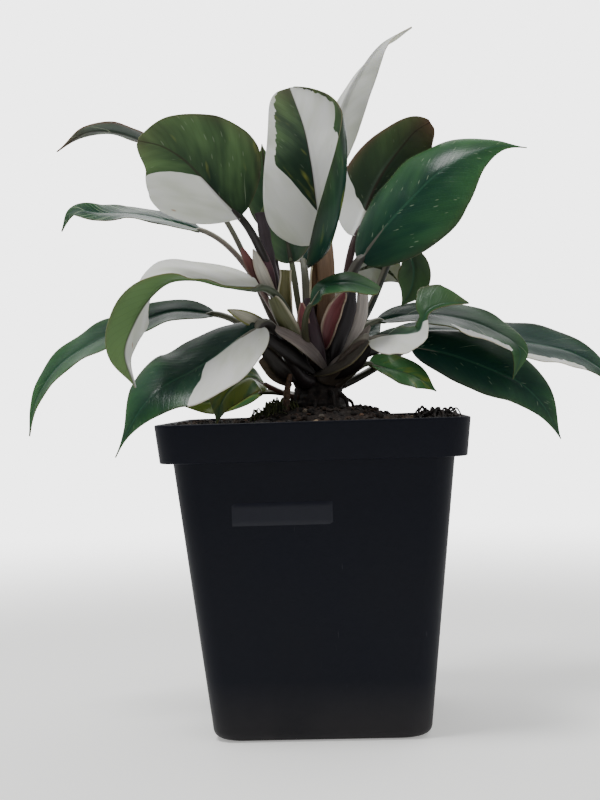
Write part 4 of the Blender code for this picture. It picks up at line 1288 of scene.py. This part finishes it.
# Many small pieces in one mesh, each a copy of a rough stone or chip. sizes gives three half sizes.
def scatter(name, count, sizes, palette, material, draw, spread=None, detail=1):
    whole = bmesh.new()
    colours = whole.verts.layers.float_color.new("tint")
    for _ in range(count):
        if spread:
            x, y = (draw.gauss(centre, reach) for centre, reach in spread)
        else:
            x, y = (draw.uniform(-70, 70) for _ in range(2))
        half = sizes(draw)
        angle = draw.uniform(0, math.pi)
        tilt = Matrix.Rotation(angle, 4, "Z") @ Matrix.Rotation(draw.uniform(-0.5, 0.5), 4, "X")
        tilt = Matrix.Translation((x, y, mixHeight(x, y) + 0.5 + 0.5 * half[2])) @ tilt
        tint = srgb(draw.choice(palette))
        made = bmesh.ops.create_icosphere(whole, subdivisions=detail, radius=1)["verts"]
        for vertex in made:
            jag = 1 + draw.uniform(-0.28, 0.28) / detail
            vertex[colours] = tint
            vertex.co = tilt @ Vector(value * size * jag for value, size in zip(vertex.co, half)) * mm
    mesh = bpy.data.meshes.new(name)
    whole.to_mesh(mesh)
    whole.free()
    return addPiece(name, mesh, [material])


# Peat, bark and grit, wet and dried many times. The eye gets a matt black-brown broken into crumbs.
peatFinish = dict(
    crumbs=700,             # to the metre: 1.4 mm
    patches=90,             # damp and dry, 11 mm
    hues=((0.35, "15100e"), (0.55, "2a201b"), (0.75, "43342a")),
    shades=(0.55, 1.3),
    roughness=0.92,
    crumbHeight=0.5,
)


def peatAndBark(name, tinted):
    material, tree, shader = startMaterial(name)
    spot = addNode(tree, "TexCoord").outputs["Object"]
    grain = addNode(tree, "TexNoise", {"Vector": spot, "Scale": peatFinish["crumbs"], "Detail": 5.0})
    cloud = addNode(tree, "TexNoise", {"Vector": spot, "Scale": peatFinish["patches"], "Detail": 3.0})
    grain, cloud = grain.outputs["Fac"], cloud.outputs["Fac"]
    if tinted:
        base = addNode(tree, "Attribute", attribute_name="tint").outputs["Color"]
    else:
        stops = [(place, srgb(hue)) for place, hue in peatFinish["hues"]]
        base = addNode(tree, "ValToRGB", {0: cloud}, stops=stops).outputs[0]
    dark, light = peatFinish["shades"]
    bright = addNode(tree, "MapRange", {0: grain, 1: 0.25, 2: 0.75, 3: dark, 4: light}).outputs[0]
    colour = addNode(tree, "VectorMath", {0: base, "Scale": bright}, operation="SCALE").outputs[0]
    height = peatFinish["crumbHeight"] * mm
    bump = addNode(tree, "Bump", {"Height": grain, "Distance": height, "Strength": 0.8})
    fill(tree, shader, {
        "Base Color": colour,
        "Roughness": peatFinish["roughness"],
        "Normal": bump.outputs[0],
    })
    return material


peat = peatAndBark("peatAndBark", False)
chipSkin = peatAndBark("barkAndGrit", True)
makeCrust(peat)
frame["nodes"]["potting_mix"].data.materials.clear()
frame["nodes"]["potting_mix"].data.materials.append(peat)


def crumbSizes(draw):
    size = draw.uniform(*mixLooks["crumbSize"])
    return (size, size * draw.uniform(0.6, 1), size * draw.uniform(0.5, 0.9))


def chipSizes(draw):
    size = draw.uniform(*mixLooks["chipLength"]) / 2
    return (size, size * draw.uniform(0.3, 0.6), size * draw.uniform(0.12, 0.25))


def pebbleSizes(draw):
    size = draw.uniform(*mixLooks["pebbleSize"])
    return (size, size * draw.uniform(0.7, 1), size * draw.uniform(0.6, 0.9))


peatHues = ("1a1412", "2b211b", "3a2c23", "15110f")
barkHues = ("3b2a20", "52392a", "2a1f19", "6a4c36")
gritHues = ("6f6558", "8a7861", "5a534b", "94836b")
scatter("mixCrumbs", mixLooks["crumbs"], crumbSizes, peatHues, chipSkin, draw)
scatter("barkChips", mixLooks["chips"], chipSizes, barkHues, chipSkin, draw)
scatter("gritStones", mixLooks["pebbles"], pebbleSizes, gritHues, chipSkin, draw, detail=2)
rootHues = ("2a1f19", "1a1412", "3b2a20")
heap = scatter("rootClump", mixLooks["clumpChips"], chipSizes, rootHues, chipSkin, draw,
               spread=mixLooks["clumpPlace"])
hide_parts("root_clump")


# A fibre that wanders over the mix from a place on it, humped by lift and getting thinner.
def fibre(draw, x, y, reach, lift, thick):
    angle = draw.uniform(0, 2 * math.pi)
    points = []
    for step in range(8):
        share = step / 7
        rise = lift * math.sin(math.pi * share) * draw.uniform(0.5, 1.1)
        points.append((x, y, mixHeight(x, y) + 0.6 + rise, thick * (1 - 0.5 * share)))
        angle += draw.uniform(-0.9, 0.9)
        x += reach / 7 * math.cos(angle)
        y += reach / 7 * math.sin(angle)
    return points


spots = [(draw.uniform(-60, 60), draw.uniform(-60, 60)) for _ in range(mixLooks["fibres"])]
thick = mixLooks["fibreThick"]
loose = [fibre(draw, x, y, draw.uniform(4, 10), draw.uniform(0.3, 2.2), thick) for x, y in spots]
clump = [fibre(draw, draw.gauss(60, 3.5), draw.gauss(-30, 3), draw.uniform(6, 16), draw.uniform(1.5, 7),
               draw.uniform(0.3, 0.9)) for _ in range(mixLooks["clumpRoots"])]
makeStrands("mixFibres", loose, rootSkin)
makeStrands("clumpRoots", clump, bark)
tuft = [fibre(draw, draw.gauss(-19, 4), draw.gauss(-8, 5), draw.uniform(2, 7), draw.uniform(1, 7),
              draw.uniform(0.25, 0.6)) for _ in range(mixLooks["mossShoots"])]
mossSkin = corkBark("mossShoots", "1f2413", "5a6232", 0.85, 300)
makeStrands("mossTuft", tuft, mossSkin)
print("potting mix done")

studio = dict(
    floorColour="f6f6f4",
    floorRadius=3,
    floorFade=(0.3, 1.1),   # where the floor starts to melt into the backdrop, and where it has gone, in m
    floorGlow=0.35,
    backdrop=4,
    frontGlow=0.2,
    backGlow=1.3,
    lampAim=(0, 0, 0.2),
    lamps={
        "key": dict(place=(-0.4, -0.3, 1.45), power=15, size=0.42),
        "fill": dict(place=(1.1, -1.2, 0.7), power=4.5, size=1.4),
        "back": dict(place=(0.3, 1.3, 1.2), power=6, size=1.8),
    },
    lens=65.2,
    sensor=36,
    cameraPlace=(0.0263, -0.7495, 0.169),
    cameraAim=(-0.0082, 0, 0.1645),
    cameraRoll=0.0306,
)


# Matt studio paper: dull and even. It thins out away from the pot, so that no horizon shows.
def paleFloor():
    bpy.ops.mesh.primitive_circle_add(vertices=96, radius=studio["floorRadius"], fill_type="NGON")
    floor = bpy.context.object
    floor.name = "floor"
    material, tree, shader = startMaterial("mattPaper")
    fill(tree, shader, {
        "Base Color": srgb(studio["floorColour"]),
        "Roughness": 0.9,
        "Emission Color": srgb(studio["floorColour"]),
        "Emission Strength": studio["floorGlow"],
    })
    spot = addNode(tree, "TexCoord").outputs["Object"]
    far = addNode(tree, "VectorMath", {0: spot}, operation="LENGTH").outputs["Value"]
    start, end = studio["floorFade"]
    gone = addNode(tree, "MapRange", {0: far, 1: start, 2: end}, **smooth).outputs[0]
    clear = addNode(tree, "BsdfTransparent").outputs[0]
    paper = addNode(tree, "MixShader", {0: gone, 1: shader.outputs[0], 2: clear}).outputs[0]
    fill(tree, tree.nodes["Material Output"], {"Surface": paper})
    floor.data.materials.append(material)


# An even pale backdrop, and around it a glow that is dim in front of the plant and bright behind it.
def paleBackdrop():
    world = bpy.data.worlds.new("studio")
    bpy.context.scene.world = world
    world.use_nodes = True
    tree = world.node_tree
    around = addNode(tree, "TexCoord").outputs["Generated"]
    depth = addNode(tree, "SeparateXYZ", {0: around}).outputs[1]
    front, back = studio["frontGlow"], studio["backGlow"]
    glow = addNode(tree, "MapRange", {0: depth, 1: -0.5, 2: 0.8, 3: front, 4: back})
    seen = addNode(tree, "LightPath").outputs["Is Camera Ray"]
    power = addNode(tree, "Mix", {0: seen, 2: glow.outputs[0], 3: studio["backdrop"]}).outputs[0]
    fill(tree, tree.nodes["Background"], {"Color": (1, 1, 1, 1), "Strength": power})


def softBox(name, place, power, size):
    lamp = bpy.data.lights.new(name, "AREA")
    lamp.energy = power
    lamp.size = size
    holder = bpy.data.objects.new(name, lamp)
    bpy.context.scene.collection.objects.link(holder)
    holder.location = place
    way = Vector(studio["lampAim"]) - Vector(place)
    holder.rotation_euler = way.to_track_quat("-Z", "Y").to_euler()


def makeCamera():
    camera = bpy.data.cameras.new("camera")
    camera.lens = studio["lens"]
    camera.sensor_width = studio["sensor"]
    holder = bpy.data.objects.new("camera", camera)
    bpy.context.scene.collection.objects.link(holder)
    place = Vector(studio["cameraPlace"])
    ahead = (Vector(studio["cameraAim"]) - place).normalized()
    right = ahead.cross(Vector((0, 0, 1))).normalized()
    up = right.cross(ahead)
    roll = studio["cameraRoll"]
    level = right * math.cos(roll) - up * math.sin(roll)
    tall = right * math.sin(roll) + up * math.cos(roll)
    turned = Matrix((level, tall, -ahead)).transposed().to_4x4()
    holder.matrix_world = Matrix.Translation(place) @ turned
    bpy.context.scene.camera = holder


paleFloor()
paleBackdrop()
for name, lamp in studio["lamps"].items():
    softBox(name, **lamp)
makeCamera()
